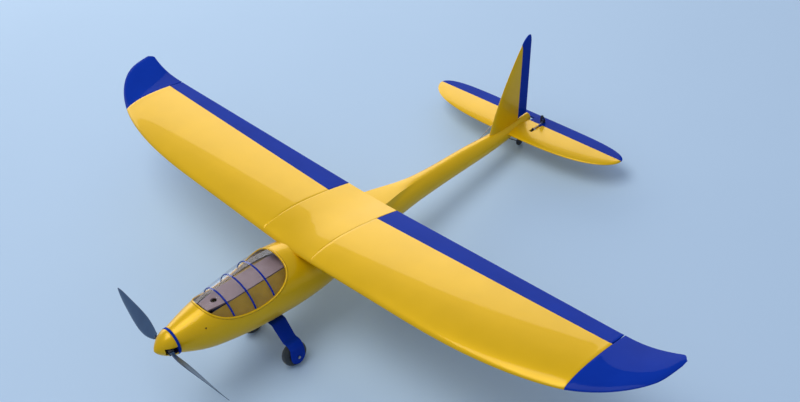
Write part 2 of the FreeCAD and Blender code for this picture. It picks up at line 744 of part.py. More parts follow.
STAB_NOSE = 4.0
RUDDER_NOSE = 3.2
RUDDER_ROOM = 1.6        # how far ahead of the hinge the sides of the fin stop
ELEVATOR_X = 44.0
ELEVATOR_HORN = 10.4     # height of the pushrod pivot above the elevator's hinge
ELEVATOR_ARM = 7.2       # radius of the elevator servo's arm
RUDDER_HORN = 12.0


def rudder_axis():
    """Foot and top of the rudder's hinge axis."""
    foot = Vector(0, rudder_hinge_y(size("rudder_foot_z")), size("rudder_foot_z"))
    top = Vector(0, rudder_hinge_y(size("fin_top_z")), size("fin_top_z"))
    return foot, top


def behind_plane(y_low, z_low, y_high, z_high):
    """Everything behind a plane that leans back from the lower to the upper point."""
    corners = [Vector(-300, y_low, z_low), Vector(-300, y_high, z_high)]
    corners += [Vector(-300, 700, z_high), Vector(-300, 700, z_low), Vector(-300, y_low, z_low)]
    return Part.Face(Part.makePolygon(corners)).extrude(Vector(600, 0, 0))


def build_tail():
    """Tailplane, elevator, fin, rudder, their horns and the tail servos' moving parts."""
    hinge = size("stab_hinge_y")
    level = size("stab_z")
    whole = stab_solid()
    behind = solid_box((-300, hinge, -80), (300, 560, -30))
    nose = rod((-240, hinge, level), (240, hinge, level), STAB_NOSE)
    cove = rod((-300, hinge, level), (300, hinge, level), STAB_NOSE + size("hinge_gap"))
    stab = whole.cut(behind).cut(cove)
    pin_spots = (-200.0, -60.0, 60.0, 200.0)
    elevator = whole.common(behind).fuse(whole.common(nose)).removeSplitter()
    elevator = elevator.cut(solid_box((-14, 400, -80), (14, 506.5, -30)))
    elevator_pins = []
    for x in pin_spots:
        lug = solid_box((x - 3, hinge - 6.5, level - 1.8), (x + 3, hinge, level + 1.8))
        lug = lug.fuse(rod((x - 3, hinge, level), (x + 3, hinge, level), 1.8))
        lug = lug.cut(rod((x - 9, hinge, level), (x + 9, hinge, level), PIN_RAD + 0.06))
        stab = stab.fuse(lug)
        room = solid_box((x - 3.3, hinge - 8, level - 6), (x + 3.3, hinge + 2.2, level + 6))
        elevator = elevator.cut(room)
        elevator = elevator.cut(rod((x - 8, hinge, level), (x + 8, hinge, level), PIN_RAD + 0.06))
        elevator_pins.append(rod((x - 8, hinge, level), (x + 8, hinge, level), PIN_RAD))
    horn_axis = Vector(ELEVATOR_X, hinge, level)
    horn_pivot = horn_axis + Vector(0, 0, ELEVATOR_HORN)
    arm_axis = horn_axis - Vector(0, 28.0, 1.0)
    arm_pivot = arm_axis + Vector(0, 0, ELEVATOR_ARM)
    slot = solid_box((ELEVATOR_X - 2.2, hinge - 38, level - 3.2), (ELEVATOR_X + 5.4, hinge - 14, level + 9))
    well = solid_box((ELEVATOR_X - 12.4, hinge - 44, level - 9), (ELEVATOR_X + 5.4, hinge - 14, level + 1.4))
    stab = largest(stab.cut(slot).cut(well))
    keep_shape(stab, "tailplane")
    keep_shape(largest(elevator.cut(horn_foot(horn_axis, 0.1))), "elevator")
    keep_shape(elevator_horn(horn_axis, horn_pivot), "elevator_horn")
    keep_shape(servo_arm(arm_axis, arm_pivot), "elevator_servo_arm")
    keep_shape(link_rod(arm_pivot, horn_pivot), "elevator_pushrod")
    low = (ELEVATOR_X - 12.0, hinge - 43.5, level - 5.0)
    servo = solid_box(low, (ELEVATOR_X - 2.4, hinge - 19.5, level + 1.0))
    boss = rod((ELEVATOR_X - 3, arm_axis.y, arm_axis.z), (ELEVATOR_X - 1.0, arm_axis.y, arm_axis.z), 1.9)
    keep_shape(servo.fuse(boss).removeSplitter(), "elevator_servo")

    foot, top = rudder_axis()
    lean = (top - foot).normalize()
    whole = fin_solid()
    behind = behind_plane(foot.y - size("rudder_lean") * 60, foot.z - 60, top.y + size("rudder_lean") * 60, top.z + 60)
    above = solid_box((-20, 440, size("fin_top_z") + 0.3), (20, 560, 160))
    nose = Part.makeCone(RUDDER_NOSE, 1.9, (top - foot).Length, foot, lean)
    cove = Part.makeCone(RUDDER_NOSE + 0.35, 2.2, (top - foot).Length + 8, foot - lean * 4, lean)
    below = solid_box((-20, 300, -80), (20, 560, size("rudder_foot_z")))
    ahead = behind.translated(Vector(0, -RUDDER_ROOM, 0))
    fin = whole.cut(ahead).cut(above).cut(cove)
    rudder = whole.common(behind).fuse(whole.common(nose)).fuse(whole.common(above)).cut(below)
    rudder_pins = []
    for part in (0.1, 0.5, 0.86):
        middle = foot + (top - foot) * part
        lug = rod(middle - lean * 2.5, middle + lean * 2.5, 1.7)
        lug = lug.fuse(Part.makeBox(2.4, 6.4, 5, middle - Vector(1.2, 6.4, 2.5)))
        fin = fin.fuse(lug.cut(rod(middle - lean * 9, middle + lean * 9, PIN_RAD + 0.06)))
        room = Part.makeBox(12, 9.2, 5.8, middle - Vector(6, 7.0, 2.9))
        rudder = rudder.cut(room)
        rudder = rudder.cut(rod(middle - lean * 8, middle + lean * 8, PIN_RAD + 0.06))
        rudder_pins.append(rod(middle - lean * 7.5, middle + lean * 7.5, PIN_RAD))
    keep_shape(largest(fin), "fin")
    rudder = largest(rudder)
    pivot = foot + lean * 6 + Vector(-RUDDER_HORN, 0, 0)
    blade = [foot + lean * 6 + Vector(-1.2, 1.0, -0.8), foot + lean * 6 + Vector(-1.2, 12.0, -0.8)]
    blade += [pivot + Vector(-1.0, 3.0, -0.8), pivot + Vector(-1.0, -3.0, -0.8), blade[0]]
    horn = Part.Face(Part.makePolygon(blade)).extrude(Vector(0, 0, 1.6))
    horn = horn.fuse(Part.makeCylinder(3.1, 1.6, pivot - Vector(0, 0, 0.8))).removeSplitter()
    horn = horn.cut(rod(pivot - Vector(0, 0, 4), pivot + Vector(0, 0, 4), LINK_RAD + SWING_ROOM))
    keep_shape(rudder.cut(horn_room(horn)), "rudder")
    keep_shape(horn, "rudder_horn")
    build_rudder_drive(pivot)
    return elevator_pins + rudder_pins


def horn_room(horn):
    """The slot that a horn blade is glued into, a hair wider than the blade."""
    box = horn.BoundBox
    return solid_box((box.XMin + 9, box.YMin, box.ZMin - 0.1), (box.XMax + 0.2, box.YMax + 0.3, box.ZMax + 0.1))


def horn_foot(axis, grow):
    """The foot of the elevator horn, let into the top of the elevator."""
    low = (axis.x - 0.9 - grow, axis.y + 4.6 - grow, axis.z + 1.0 - grow)
    return solid_box(low, (axis.x + 0.9 + grow, axis.y + 12.0 + grow, axis.z + 8))


def elevator_horn(axis, pivot):
    """A triangular plate horn with a large hole: it stands on the left half of the elevator."""
    x = Vector(0.9, 0, 0)
    corners = [axis + Vector(0, 4.6, 1.0), axis + Vector(0, 12.0, 1.0), axis + Vector(0, 12.6, 8.0)]
    corners += [axis + Vector(0, 6.2, 22.0), axis + Vector(0, 3.6, 24.6), axis + Vector(0, 0.6, 24.4)]
    corners += [axis + Vector(0, -1.4, 21.0), axis + Vector(0, -2.8, 9.6), axis + Vector(0, 0.0, 5.4)]
    corners += [axis + Vector(0, 4.6, 5.0)]
    corners = [corner - x for corner in corners]
    blade = Part.Face(Part.makePolygon(corners + corners[:1])).extrude(x * 2)
    middle = axis + Vector(0, 5.6, 13.4)
    blade = blade.cut(rod(middle - Vector(3, 0, 0), middle + Vector(3, 0, 0), 2.6))
    return blade.cut(rod(pivot - Vector(3, 0, 0), pivot + Vector(3, 0, 0), LINK_RAD + 0.4))


SWING_ROOM = 0.85        # play in the rudder's links for the arc of arm and horn
RUDDER_ARM_Y = -20.0
RUDDER_ARM_Z = -66.0


def build_rudder_drive(pivot):
    """Rudder servo on the former under the wing, its arm, and the long pushrod in the boom."""
    arm_pivot = Vector(pivot.x, RUDDER_ARM_Y, RUDDER_ARM_Z + 6.2)
    bend = Vector(-10.0, 338.0, -50.5)
    exit_point = Vector(pivot.x - 1.4, 396.0, pivot.z + 1.6)
    start = arm_pivot + Vector(0, 0, -1.6)
    corner = arm_pivot + Vector(0, 0, 3.0)
    hook = pivot + Vector(0, 0, 3.2)
    wire = bent_rod([start, corner, bend, exit_point, hook, pivot - Vector(0, 0, 1.8)], LINK_RAD)
    keep_shape(wire, "rudder_pushrod")
    axis = Vector(0, RUDDER_ARM_Y, RUDDER_ARM_Z + 6.2)
    boss = Part.makeCylinder(2.6, 1.6, axis - Vector(0, 0, 0.8), Vector(0, 0, 1))
    tip = Part.makeCylinder(3.1, 1.6, arm_pivot - Vector(0, 0, 0.8), Vector(0, 0, 1))
    corners = [axis + Vector(0, 2.3, -0.8), arm_pivot + Vector(0, 1.8, -0.8)]
    corners += [arm_pivot + Vector(0, -1.8, -0.8), axis + Vector(0, -2.3, -0.8)]
    web = Part.Face(Part.makePolygon(corners + corners[:1])).extrude(Vector(0, 0, 1.6))
    arm = boss.fuse([tip, web]).removeSplitter()
    arm = arm.cut(rod(arm_pivot - Vector(0, 0, 3), arm_pivot + Vector(0, 0, 3), LINK_RAD + SWING_ROOM))
    keep_shape(arm, "rudder_servo_arm")
    low = (-6.2, RUDDER_ARM_Y - 6.0, RUDDER_ARM_Z - 20.0)
    case = solid_box(low, (6.2, RUDDER_ARM_Y + 17.0, RUDDER_ARM_Z + 2.0))
    ears = solid_box((-6.2, RUDDER_ARM_Y - 10.5, -76.0), (6.2, RUDDER_ARM_Y + 21.5, -74.2))
    boss = rod((0, RUDDER_ARM_Y, RUDDER_ARM_Z), (0, RUDDER_ARM_Y, RUDDER_ARM_Z + 5.2), 3.0)
    keep_shape(case.fuse([ears, boss]).removeSplitter(), "rudder_servo")
    deck = solid_box((-38, RUDDER_ARM_Y - 22, -79.2), (38, RUDDER_ARM_Y + 30, -76.2))
    deck = deck.common(pod_hollow(size("skin") + 0.2))
    well = solid_box((-6.6, RUDDER_ARM_Y - 6.4, -90), (6.6, RUDDER_ARM_Y + 17.4, -60))
    keep_shape(largest(deck.cut(well)), "servo_tray")


# --------------------------------------------------------------------------- motor and propeller
def rotor_place():
    """Centre of the blade pivots on the thrust line, turned to the propeller's parked angle."""
    y = size("nose_y") - size("pivot_ahead")
    return Placement(Vector(0, y, size("thrust_z")), Rotation(Vector(0, 1, 0), size("prop_tilt")))


LATHE_TO_Y = Rotation(Vector(1, 0, 0), 90)      # a lathe body's +Z becomes -Y, out of the nose


def build_power():
    """Motor, folding propeller and spinner, all about the thrust line."""
    rotor = rotor_place()
    nose = size("nose_y")
    thrust = size("thrust_z")
    skin = size("skin")

    wall = nose + skin + 4.0
    firewall = primitive("Cylinder", "firewall_disc", {
        "Radius": "sizes.nose_rad - 1.2", "Height": "sizes.firewall_thick"}, (0, wall, thrust), ALONG_Y)
    bore = primitive("Cylinder", "firewall_bore", {
        "Radius": "sizes.shaft_rad + 3", "Height": "sizes.firewall_thick + 2"}, (0, wall - 1, thrust), ALONG_Y)
    holes = []
    screws = []
    for i in range(4):
        turn = math.radians(45 + 90 * i)
        spot = (9.5 * math.cos(turn), wall - 1, thrust + 9.5 * math.sin(turn))
        holes.append(primitive("Cylinder", "firewall_hole_%d" % (i + 1), {
            "Radius": "sizes.axle_rad + 0.15", "Height": "sizes.firewall_thick + 2"}, spot, ALONG_Y))
        head = (spot[0], wall - 1.9, spot[2])
        screws.append(primitive("Cylinder", "motor_screw_head_%d" % (i + 1), {
            "Radius": "sizes.axle_rad + 1.2", "Height": "1.8"}, head, ALONG_Y))
        screws.append(primitive("Cylinder", "motor_screw_shank_%d" % (i + 1), {
            "Radius": "sizes.axle_rad - 0.1", "Height": "sizes.firewall_thick + 3.5"}, spot, ALONG_Y))
    tools = join("firewall_tools", [bore] + holes)
    keep(remove("firewall_cut", firewall, tools), "firewall")
    keep(join("motor_screw_set", screws), "motor_screws")

    back = wall + size("firewall_thick") + 0.1
    foot = rod((0, back, thrust), (0, back + 4, thrust), 12.5)
    core = rod((0, back + 4, thrust), (0, back + 26, thrust), 9.0)
    teeth = rod((0, back + 8, thrust), (0, back + 24, thrust), 12.3)
    for i in range(12):
        turn = math.radians(30 * i)
        spot = Vector(10.8 * math.cos(turn), back + 7, thrust + 10.8 * math.sin(turn))
        teeth = teeth.cut(Part.makeCylinder(1.4, 18, spot, Vector(0, 1, 0)))
    stator = foot.fuse([core, teeth]).removeSplitter()
    stator = stator.cut(rod((0, back - 1, thrust), (0, back + 40, thrust), size("shaft_rad") + 0.06))
    for i in range(4):
        turn = math.radians(45 + 90 * i)
        spot = Vector(9.5 * math.cos(turn), back - 1, thrust + 9.5 * math.sin(turn))
        stator = stator.cut(Part.makeCylinder(size("axle_rad"), 4, spot, Vector(0, 1, 0)))
    keep_shape(stator, "motor_stator")

    bell_front = back + 6.0
    bell_back = bell_front + 24.0
    bell = rod((0, bell_front, thrust), (0, bell_back, thrust), size("motor_rad"))
    bell = bell.cut(rod((0, bell_front - 1, thrust), (0, bell_back - 2.5, thrust), 12.9))
    bell = bell.cut(rod((0, bell_back - 4, thrust), (0, bell_back + 4, thrust), size("shaft_rad")))
    for i in range(6):
        turn = math.radians(60 * i)
        spot = Vector(8.4 * math.cos(turn), bell_back - 4, thrust + 8.4 * math.sin(turn))
        bell = bell.cut(Part.makeCylinder(2.4, 8, spot, Vector(0, 1, 0)))
    keep_shape(bell, "motor_bell")

    pivot_y = nose - size("pivot_ahead")
    shaft = rod((0, pivot_y - 7.5, thrust), (0, bell_back + 1.5, thrust), size("shaft_rad"))
    keep_shape(shaft, "motor_shaft")

    ring = size("ring_thick")
    plate_front = nose - 0.5 - ring
    backplate = turned("spinner_backplate_lathe", [
        ("sizes.shaft_rad + 0.02", "0"), ("sizes.ring_rad", "0"), ("sizes.ring_rad", "sizes.ring_thick"),
        ("sizes.ring_rad - 3.4", "sizes.ring_thick"), ("sizes.ring_rad - 3.4", "2"),
        ("sizes.shaft_rad + 4", "2"), ("sizes.shaft_rad + 4", "sizes.ring_thick + 3.4"),
        ("sizes.shaft_rad + 0.02", "sizes.ring_thick + 3.4")])
    place = Placement(Vector(0, nose - 0.5, thrust), LATHE_TO_Y)
    keep(backplate, "spinner_backplate", place)

    keep_shape(spinner_shape(plate_front - 0.1 - rotor.Base.y), "spinner", rotor)

    half_thick = size("yoke_thick") / 2
    high = size("yoke_high") / 2
    pivot = size("pivot_x")
    yoke = solid_box((-pivot - 4.2, -half_thick, -high), (pivot + 4.2, half_thick, high))
    tab = size("tab_high") / 2
    for sign in (1, -1):
        slot = solid_box((pivot - 5.0, -20, -tab - 0.15), (pivot + 20, 20, tab + 0.15))
        yoke = yoke.cut(sided(slot, sign))
        hole = rod((sign * pivot, 0, -20), (sign * pivot, 0, 20), size("pin_rad"))
        yoke = yoke.cut(hole)
    yoke = yoke.cut(rod((0, -20, 0), (0, 20, 0), size("shaft_rad")))
    keep_shape(yoke, "blade_yoke", rotor)
    pins = [rod((s * pivot, 0, -high - 0.3), (s * pivot, 0, high + 0.3), size("pin_rad") - 0.01) for s in (1, -1)]
    keep_shape(Part.makeCompound(pins), "blade_pins", rotor)
    blade = blade_shape(pivot, tab)
    half_turn = Placement(Vector(0, 0, 0), Rotation(Vector(0, 1, 0), 180))
    keep_shape(blade, "left_blade", rotor)
    keep_shape(blade, "right_blade", rotor * half_turn)


def spinner_shape(rear):
    """A hollow ogive nose about its own Y axis, notched on each side for the blades."""
    curves = []
    for wall in (0.0, size("spinner_wall")):
        radius = size("nose_rad") + 0.2 - wall
        length = size("spinner_length") - 1.6 * wall
        base = Vector(0, rear, radius)
        shoulder = Vector(0, rear - 0.52 * length, 0.72 * radius)
        tip = Vector(0, rear - length, 0)
        points = Part.Arc(base, shoulder, tip).toShape().discretize(9)
        curves.append([base] + points[1:-1] + [tip])
    outer, inner = curves
    edges = [spline_edge(outer), Part.makeLine(outer[-1], inner[-1])]
    edges += [spline_edge(inner[::-1]), Part.makeLine(inner[0], outer[0])]
    cone = Part.Face(Part.Wire(edges)).revolve(Vector(0, 0, 0), Vector(0, 1, 0), 360)
    pivot = size("pivot_x")
    for sign in (1, -1):
        notch = solid_box((pivot - 6.5, -8.0, -7.5), (pivot + 20, 30, 7.5))
        cone = cone.cut(sided(notch, sign))
    return largest(cone)


BLADE = (
    # distance from the shaft, chord, thickness, twist in degrees, sweep of the mid-chord
    (27.0, 11.5, 4.0, 42.0, 0.0), (38.0, 19.5, 3.5, 41.0, -0.6), (56.0, 28.0, 2.8, 39.0, -0.8),
    (80.0, 30.0, 2.3, 36.0, -0.4), (108.0, 26.0, 1.9, 31.5, 0.6), (134.0, 19.5, 1.5, 27.5, 2.0),
    (154.0, 11.5, 1.1, 25.0, 3.6), (166.4, 3.0, 0.8, 24.0, 5.2),
)
BLADE_RAKE = 11.0                        # how far the tip sits behind the root
BLADE_RAKE_POWER = 1.3


def blade_wire(station):
    """One blade section: a thin lens, twisted about the blade's long axis and set back by the rake."""
    reach, chord, thick, twist, sweep = station
    angle = math.radians(twist)
    along = Vector(0, math.sin(angle), -math.cos(angle))
    across = Vector(0, math.cos(angle), math.sin(angle))
    outward = (reach - BLADE[0][0]) / (BLADE[-1][0] - BLADE[0][0])
    middle = Vector(reach, BLADE_RAKE * outward ** BLADE_RAKE_POWER, 0)
    return lens_wire(middle + along * (sweep - chord / 2), along, across, chord, thick)


def blade_shape(pivot, tab):
    """One folding blade: a root tab that turns on its pin, a neck, and the twisted blade."""
    wing = Part.makeLoft([blade_wire(station) for station in BLADE], True, False)
    eye = Part.makeCylinder(4.0, 2 * tab, Vector(pivot, 0, -tab), Vector(0, 0, 1))
    neck = solid_box((pivot, -3.4, -tab), (pivot + 11.5, 3.4, tab))
    root = eye.fuse(neck).removeSplitter()
    root = root.cut(rod((pivot, 0, -20), (pivot, 0, 20), size("pin_rad") + size("run_gap")))
    return largest(root.fuse(wing))


# --------------------------------------------------------------------------- landing gear
def build_gear():
    """One-piece bow with a paddle outside each wheel, the wheels, and the tail wheel wire."""
    wheel_x = size("wheel_x")
    paddle_x = wheel_x + size("wheel_wide") / 2 + 3.6
    over_wheel = size("wheel_z") + size("wheel_rad") + 3.6
    thick = size("leg_thick")
    y = size("wheel_y")
    belly = size("belly_z")
    outer = [(0, belly), (33, belly), (wheel_x - 7, over_wheel + thick), (paddle_x - 5.0, over_wheel + thick - 0.8),
             (paddle_x + thick, over_wheel - 7.0), (paddle_x + thick, size("wheel_z"))]
    inner = [(paddle_x, size("wheel_z")), (paddle_x, over_wheel - 5.8), (paddle_x - 6.2, over_wheel - 0.4),
             (wheel_x - 8.2, over_wheel), (31.4, belly - thick), (0, belly - thick)]
    outline = [Vector(x, y - size("leg_wide") / 2, z) for x, z in outer + inner]
    half = Part.Face(Part.makePolygon(outline + outline[:1])).extrude(Vector(0, size("leg_wide"), 0))
    paddle = rod((paddle_x, y, size("wheel_z")), (paddle_x + thick, y, size("wheel_z")), size("paddle_rad"))
    brow = solid_box((paddle_x, y - size("paddle_rad"), size("wheel_z")),
                     (paddle_x + thick, y + size("paddle_rad"), over_wheel - 9.5))
    half = half.fuse([paddle, brow]).removeSplitter()
    hub_hole = rod((paddle_x - 5, y, size("wheel_z")), (paddle_x + 9, y, size("wheel_z")), size("axle_rad"))
    half = half.cut(hub_hole)
    bow = half.fuse(mirrored(half)).removeSplitter()
    screws = []
    for x in (-9, 9):
        bow = bow.cut(rod((x, y, belly - 9), (x, y, belly + 9), 1.6))
        head = rod((x, y, belly - thick - 1.9), (x, y, belly - thick - 0.02), 2.9)
        screws.append(head.fuse(rod((x, y, belly - thick - 1), (x, y, belly + 12), 1.5)).removeSplitter())
    keep_shape(bow, "main_gear_bow")
    keep_shape(Part.makeCompound(screws), "gear_screws")
    block = solid_box((-16, y - 14, -116.6), (16, y + 14, -110.6))
    block = block.common(pod_hollow(size("skin") + 0.2))
    for x in (-9, 9):
        block = block.cut(rod((x, y, -130), (x, y, -100), 1.55))
    keep_shape(block, "gear_plate")

    axles = []
    for sign in (1, -1):
        inner_end = wheel_x - size("wheel_wide") / 2 - 3.4
        axle = rod((inner_end, y, size("wheel_z")), (paddle_x + thick + 0.3, y, size("wheel_z")), size("axle_rad") - 0.01)
        cap = rod((inner_end, y, size("wheel_z")), (inner_end + 2.2, y, size("wheel_z")), 3.2)
        nut = rod((paddle_x + thick + 0.02, y, size("wheel_z")), (paddle_x + thick + 2.6, y, size("wheel_z")), 2.9)
        axles.append(sided(axle.fuse([cap, nut]).removeSplitter(), sign))
    keep_shape(Part.makeCompound(axles), "wheel_axles")

    for name, sign in SIDES:
        spot = Vector(sign * wheel_x, y, size("wheel_z"))
        tyre = turned(name + "_tyre_lathe", [
            ("sizes.rim_rad + 0.06", "-sizes.wheel_wide * 0.34"), ("sizes.rim_rad + 3", "-sizes.wheel_wide * 0.47"),
            ("sizes.wheel_rad - 4", "-sizes.wheel_wide * 0.5"), ("sizes.wheel_rad - 1.2", "-sizes.wheel_wide * 0.38"),
            ("sizes.wheel_rad", "-sizes.wheel_wide * 0.16"), ("sizes.wheel_rad", "sizes.wheel_wide * 0.16"),
            ("sizes.wheel_rad - 1.2", "sizes.wheel_wide * 0.38"), ("sizes.wheel_rad - 4", "sizes.wheel_wide * 0.5"),
            ("sizes.rim_rad + 3", "sizes.wheel_wide * 0.47"), ("sizes.rim_rad + 0.06", "sizes.wheel_wide * 0.34")])
        keep(tyre, name + "_tyre", Placement(spot, ALONG_X))
        hub = turned(name + "_hub_lathe", [
            ("sizes.axle_rad + sizes.run_gap", "-sizes.wheel_wide * 0.5"), ("4", "-sizes.wheel_wide * 0.5"),
            ("4", "-2"), ("sizes.rim_rad - 2.4", "-2"), ("sizes.rim_rad - 2.4", "-sizes.wheel_wide * 0.38"),
            ("sizes.rim_rad", "-sizes.wheel_wide * 0.38"), ("sizes.rim_rad", "sizes.wheel_wide * 0.38"),
            ("sizes.rim_rad - 2.4", "sizes.wheel_wide * 0.38"), ("sizes.rim_rad - 2.4", "2"), ("4", "2"),
            ("4", "sizes.wheel_wide * 0.5"), ("sizes.axle_rad + sizes.run_gap", "sizes.wheel_wide * 0.5")])
        keep(hub, name + "_wheel_hub", Placement(spot, ALONG_X))

    radius = size("tail_wire_rad")
    ty = size("tail_wheel_y")
    tz = size("tail_wheel_z")
    points = [(0, 440, -62), (0, 440, -77.5), (5.2, 446, -81), (5.2, ty, tz), (-3.6, ty, tz)]
    keep_shape(bent_rod(points, radius), "tail_wheel_wire")
    tail_wheel = turned("tail_wheel_lathe", [
        ("sizes.tail_wire_rad + sizes.run_gap", "-3"), ("3", "-3"), ("sizes.tail_wheel_rad - 1.4", "-2.6"),
        ("sizes.tail_wheel_rad", "-1.4"), ("sizes.tail_wheel_rad", "1.4"), ("sizes.tail_wheel_rad - 1.4", "2.6"),
        ("3", "3"), ("sizes.tail_wire_rad + sizes.run_gap", "3")])
    keep(tail_wheel, "tail_wheel", Placement(Vector(0, ty, tz), ALONG_X))


# --------------------------------------------------------------------------- inside the pod
def build_inside():
    """Tray, battery, strap, speed controller, wing mount and its bolts."""
    tray = plate("equipment_tray_plate", "XY", [
        ("-sizes.tray_half * 0.62", "sizes.tray_front"), ("sizes.tray_half * 0.62", "sizes.tray_front"),
        ("sizes.tray_half", "sizes.tray_front + 46"), ("sizes.tray_half", "sizes.tray_rear"),
        ("-sizes.tray_half", "sizes.tray_rear"), ("-sizes.tray_half", "sizes.tray_front + 46")],
        "sizes.tray_thick", [(("0", "sizes.tray_front + 24"), "6")])
    keep(tray, "equipment_tray", Placement(Vector(0, 0, size("tray_z")), Rotation()))

    battery = primitive("Box", "battery_pack", {
        "Length": "34", "Width": "104", "Height": "26"}, (-17, -336, -72))
    case = doc.addObject("Part::Fillet", "battery_rounded")
    case.Base = battery
    doc.recompute()
    case.Edges = [(i + 1, 3.0, 3.0) for i in range(len(battery.Shape.Edges))]
    keep(case, "battery")
    loop = solid_box((-18.6, -292, -73.6), (18.6, -276, -44.4))
    strap = loop.cut(solid_box((-17.3, -300, -72.3), (17.3, -260, -45.7)))
    buckle = solid_box((-9, -290, -44.4), (9, -278, -42.6))
    keep_shape(strap.fuse(buckle).removeSplitter(), "battery_strap")
    cradle = solid_box((-22, -340, -77.2), (22, -228, -74.2))
    cradle = cradle.common(pod_hollow(size("skin") + 0.2))
    keep_shape(cradle, "battery_floor")
    controller = solid_box((-14, -384, -84), (14, -344, -76))
    leads = [rod((x, -383, -80), (x, -394, -76), 1.6) for x in (-7, 0, 7)]
    keep_shape(controller.fuse(leads).removeSplitter(), "speed_controller")

    mount = solid_box((-46, -134, -34), (46, -104, -29))
    rear = solid_box((-34, -2, -34), (34, 22, -29))
    holes = [rod((0, y, -60), (0, y, 10), 2.6) for y in (-120, 10)]
    inside = pod_hollow(size("skin") + 0.2)
    bearers = [piece.common(inside).cut(hole) for piece, hole in ((mount, holes[0]), (rear, holes[1]))]
    keep_shape(Part.makeCompound([largest(bearer) for bearer in bearers]), "wing_bearers")
    bolts = []
    for y in (-120, 10):
        bolt = rod((0, y, -37.5), (0, y, -34.05), 4.4).fuse(rod((0, y, -36), (0, y, -7), 2.5))
        bolts.append(bolt.removeSplitter())
    keep_shape(Part.makeCompound(bolts), "wing_bolts")


def check_document():
    """Stops if any feature failed or any sub-part is empty or broken."""
    doc.recompute()
    for obj in doc.Objects:
        if "Invalid" in obj.State or "Error" in obj.State:
            raise RuntimeError("feature failed: %s %s" % (obj.Name, obj.State))
    for obj in SUB_PARTS:
        if obj.Shape.isNull() or not obj.Shape.isValid() or not obj.Shape.Solids:
            raise RuntimeError("sub-part has no sound solid: %s" % obj.Label)


def write_parts():
    """One STEP file for each sub-part, named by its label."""
    os.makedirs("parts", exist_ok=True)
    for obj in SUB_PARTS:
        obj.Shape.exportStep("parts/%s.step" % obj.Label)


wing_pins = build_wing()
build_hull()
tail_pins = build_tail()
build_power()
build_gear()
build_inside()
all_pins = [sided(pin, sign) for pin in wing_pins for sign in (1, -1)] + tail_pins
keep_shape(Part.makeCompound(all_pins), "hinge_pins")
check_document()
write_parts()
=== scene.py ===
"""Looks of the RC glider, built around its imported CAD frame.

Shapes are drawn in aircraft axes and millimetres: X to the left wing, Y to the tail, Z up, with the
thrust line along Y. PLACE sets them into the row frame, where the model stands on its three wheels.
"""
import json
import math

import bmesh
import bpy
from mathutils import Matrix, Vector


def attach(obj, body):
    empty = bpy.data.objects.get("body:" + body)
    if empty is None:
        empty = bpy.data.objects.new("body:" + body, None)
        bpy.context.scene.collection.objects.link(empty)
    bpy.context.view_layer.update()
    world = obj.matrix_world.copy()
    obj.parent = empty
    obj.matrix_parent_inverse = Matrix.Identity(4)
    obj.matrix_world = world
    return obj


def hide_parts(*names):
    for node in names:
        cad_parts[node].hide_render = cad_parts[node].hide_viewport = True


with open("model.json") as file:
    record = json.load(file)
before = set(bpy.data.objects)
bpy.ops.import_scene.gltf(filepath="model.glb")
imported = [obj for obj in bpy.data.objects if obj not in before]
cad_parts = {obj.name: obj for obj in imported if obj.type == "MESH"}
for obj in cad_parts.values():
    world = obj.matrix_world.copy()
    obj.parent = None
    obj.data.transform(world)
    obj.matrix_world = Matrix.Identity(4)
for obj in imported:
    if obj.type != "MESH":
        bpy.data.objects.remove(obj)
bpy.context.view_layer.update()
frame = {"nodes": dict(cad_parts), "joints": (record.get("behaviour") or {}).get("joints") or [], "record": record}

RECORD = frame["record"]
JOINTS = {joint["name"]: joint for joint in frame["joints"]}
BODY_OF = {node: body for body, nodes in RECORD["behaviour"]["bodies"].items() for node in nodes}
SLOT_OF = {entry["node"]: entry["material_slot"] for entry in RECORD["subparts"]}

# ------------------------------------------------------------------ sizes, millimetres
ROTOR_CENTRE = Vector((0.0, -438.0, -52.0))
CENTRE_HALF = 69.0
PANEL_END = 612.0
WING_END = 727.0
LEAD_Y = -163.5
LEAD_BEND_START = 300.0
LEAD_BEND_POWER = 2.45
LEAD_BEND_SPAN = 428.0
TRAIL_Y = 52.0
TRAIL_TAPER = 0.0425
HINGE_GAP = 1.2
EDGE_ROUND = 0.15
SEAM = 0.12
AILERON_FIRST = 69.8
AILERON_LAST = 610.2
SERVO_X = 330.0
TIP_TRAIL_DIP = 5.0
LEAD_Z = -8.0
LEAD_RISE = 0.057
TRAIL_Z = -16.6
TRAIL_RISE = 0.0757
BEND_HALF = 30.0                         # the dihedral's bend is eased over this much on each side
UPSWEEP = 24.0
UPSWEEP_START = 600.0
UPSWEEP_POWER = 1.6
CAMBER = 0.025
CAMBER_PEAK = 0.4
ROOT_THICKNESS = 0.12
END_THICKNESS = 0.10
TIP_THICKNESS = 0.075
TRAIL_HALF = 0.4
HINGE_Y = 0.6
HINGE_SWEEP = 0.0085
SADDLE_GAP = 0.4
SADDLE_HALF = 80.0
TIP_ROUND_START = 700.0

STAB_HALF = 255.0
STAB_HINGE_Y = 494.0
STAB_Z = -53.5
STAB_FORE = 71.0
STAB_AFT = 29.0
STAB_THICK = 10.0
STAB_NOSE = 4.0
NOTCH_HALF = 14.0
NOTCH_Y = 506.5
SERVO_TAIL_X = 44.0
FIN_FOOT_Y = 378.0
FIN_FOOT_Z = -42.0
FIN_TOP_Z = 129.0
FIN_THICK = 9.0
FIN_BULGE = 9.0
RUDDER_TOP_Z = 144.0
RUDDER_FOOT_Y = 468.2
RUDDER_FOOT_Z = -38.5
RUDDER_LEAN = 0.1252
RUDDER_CHORD = 26.8

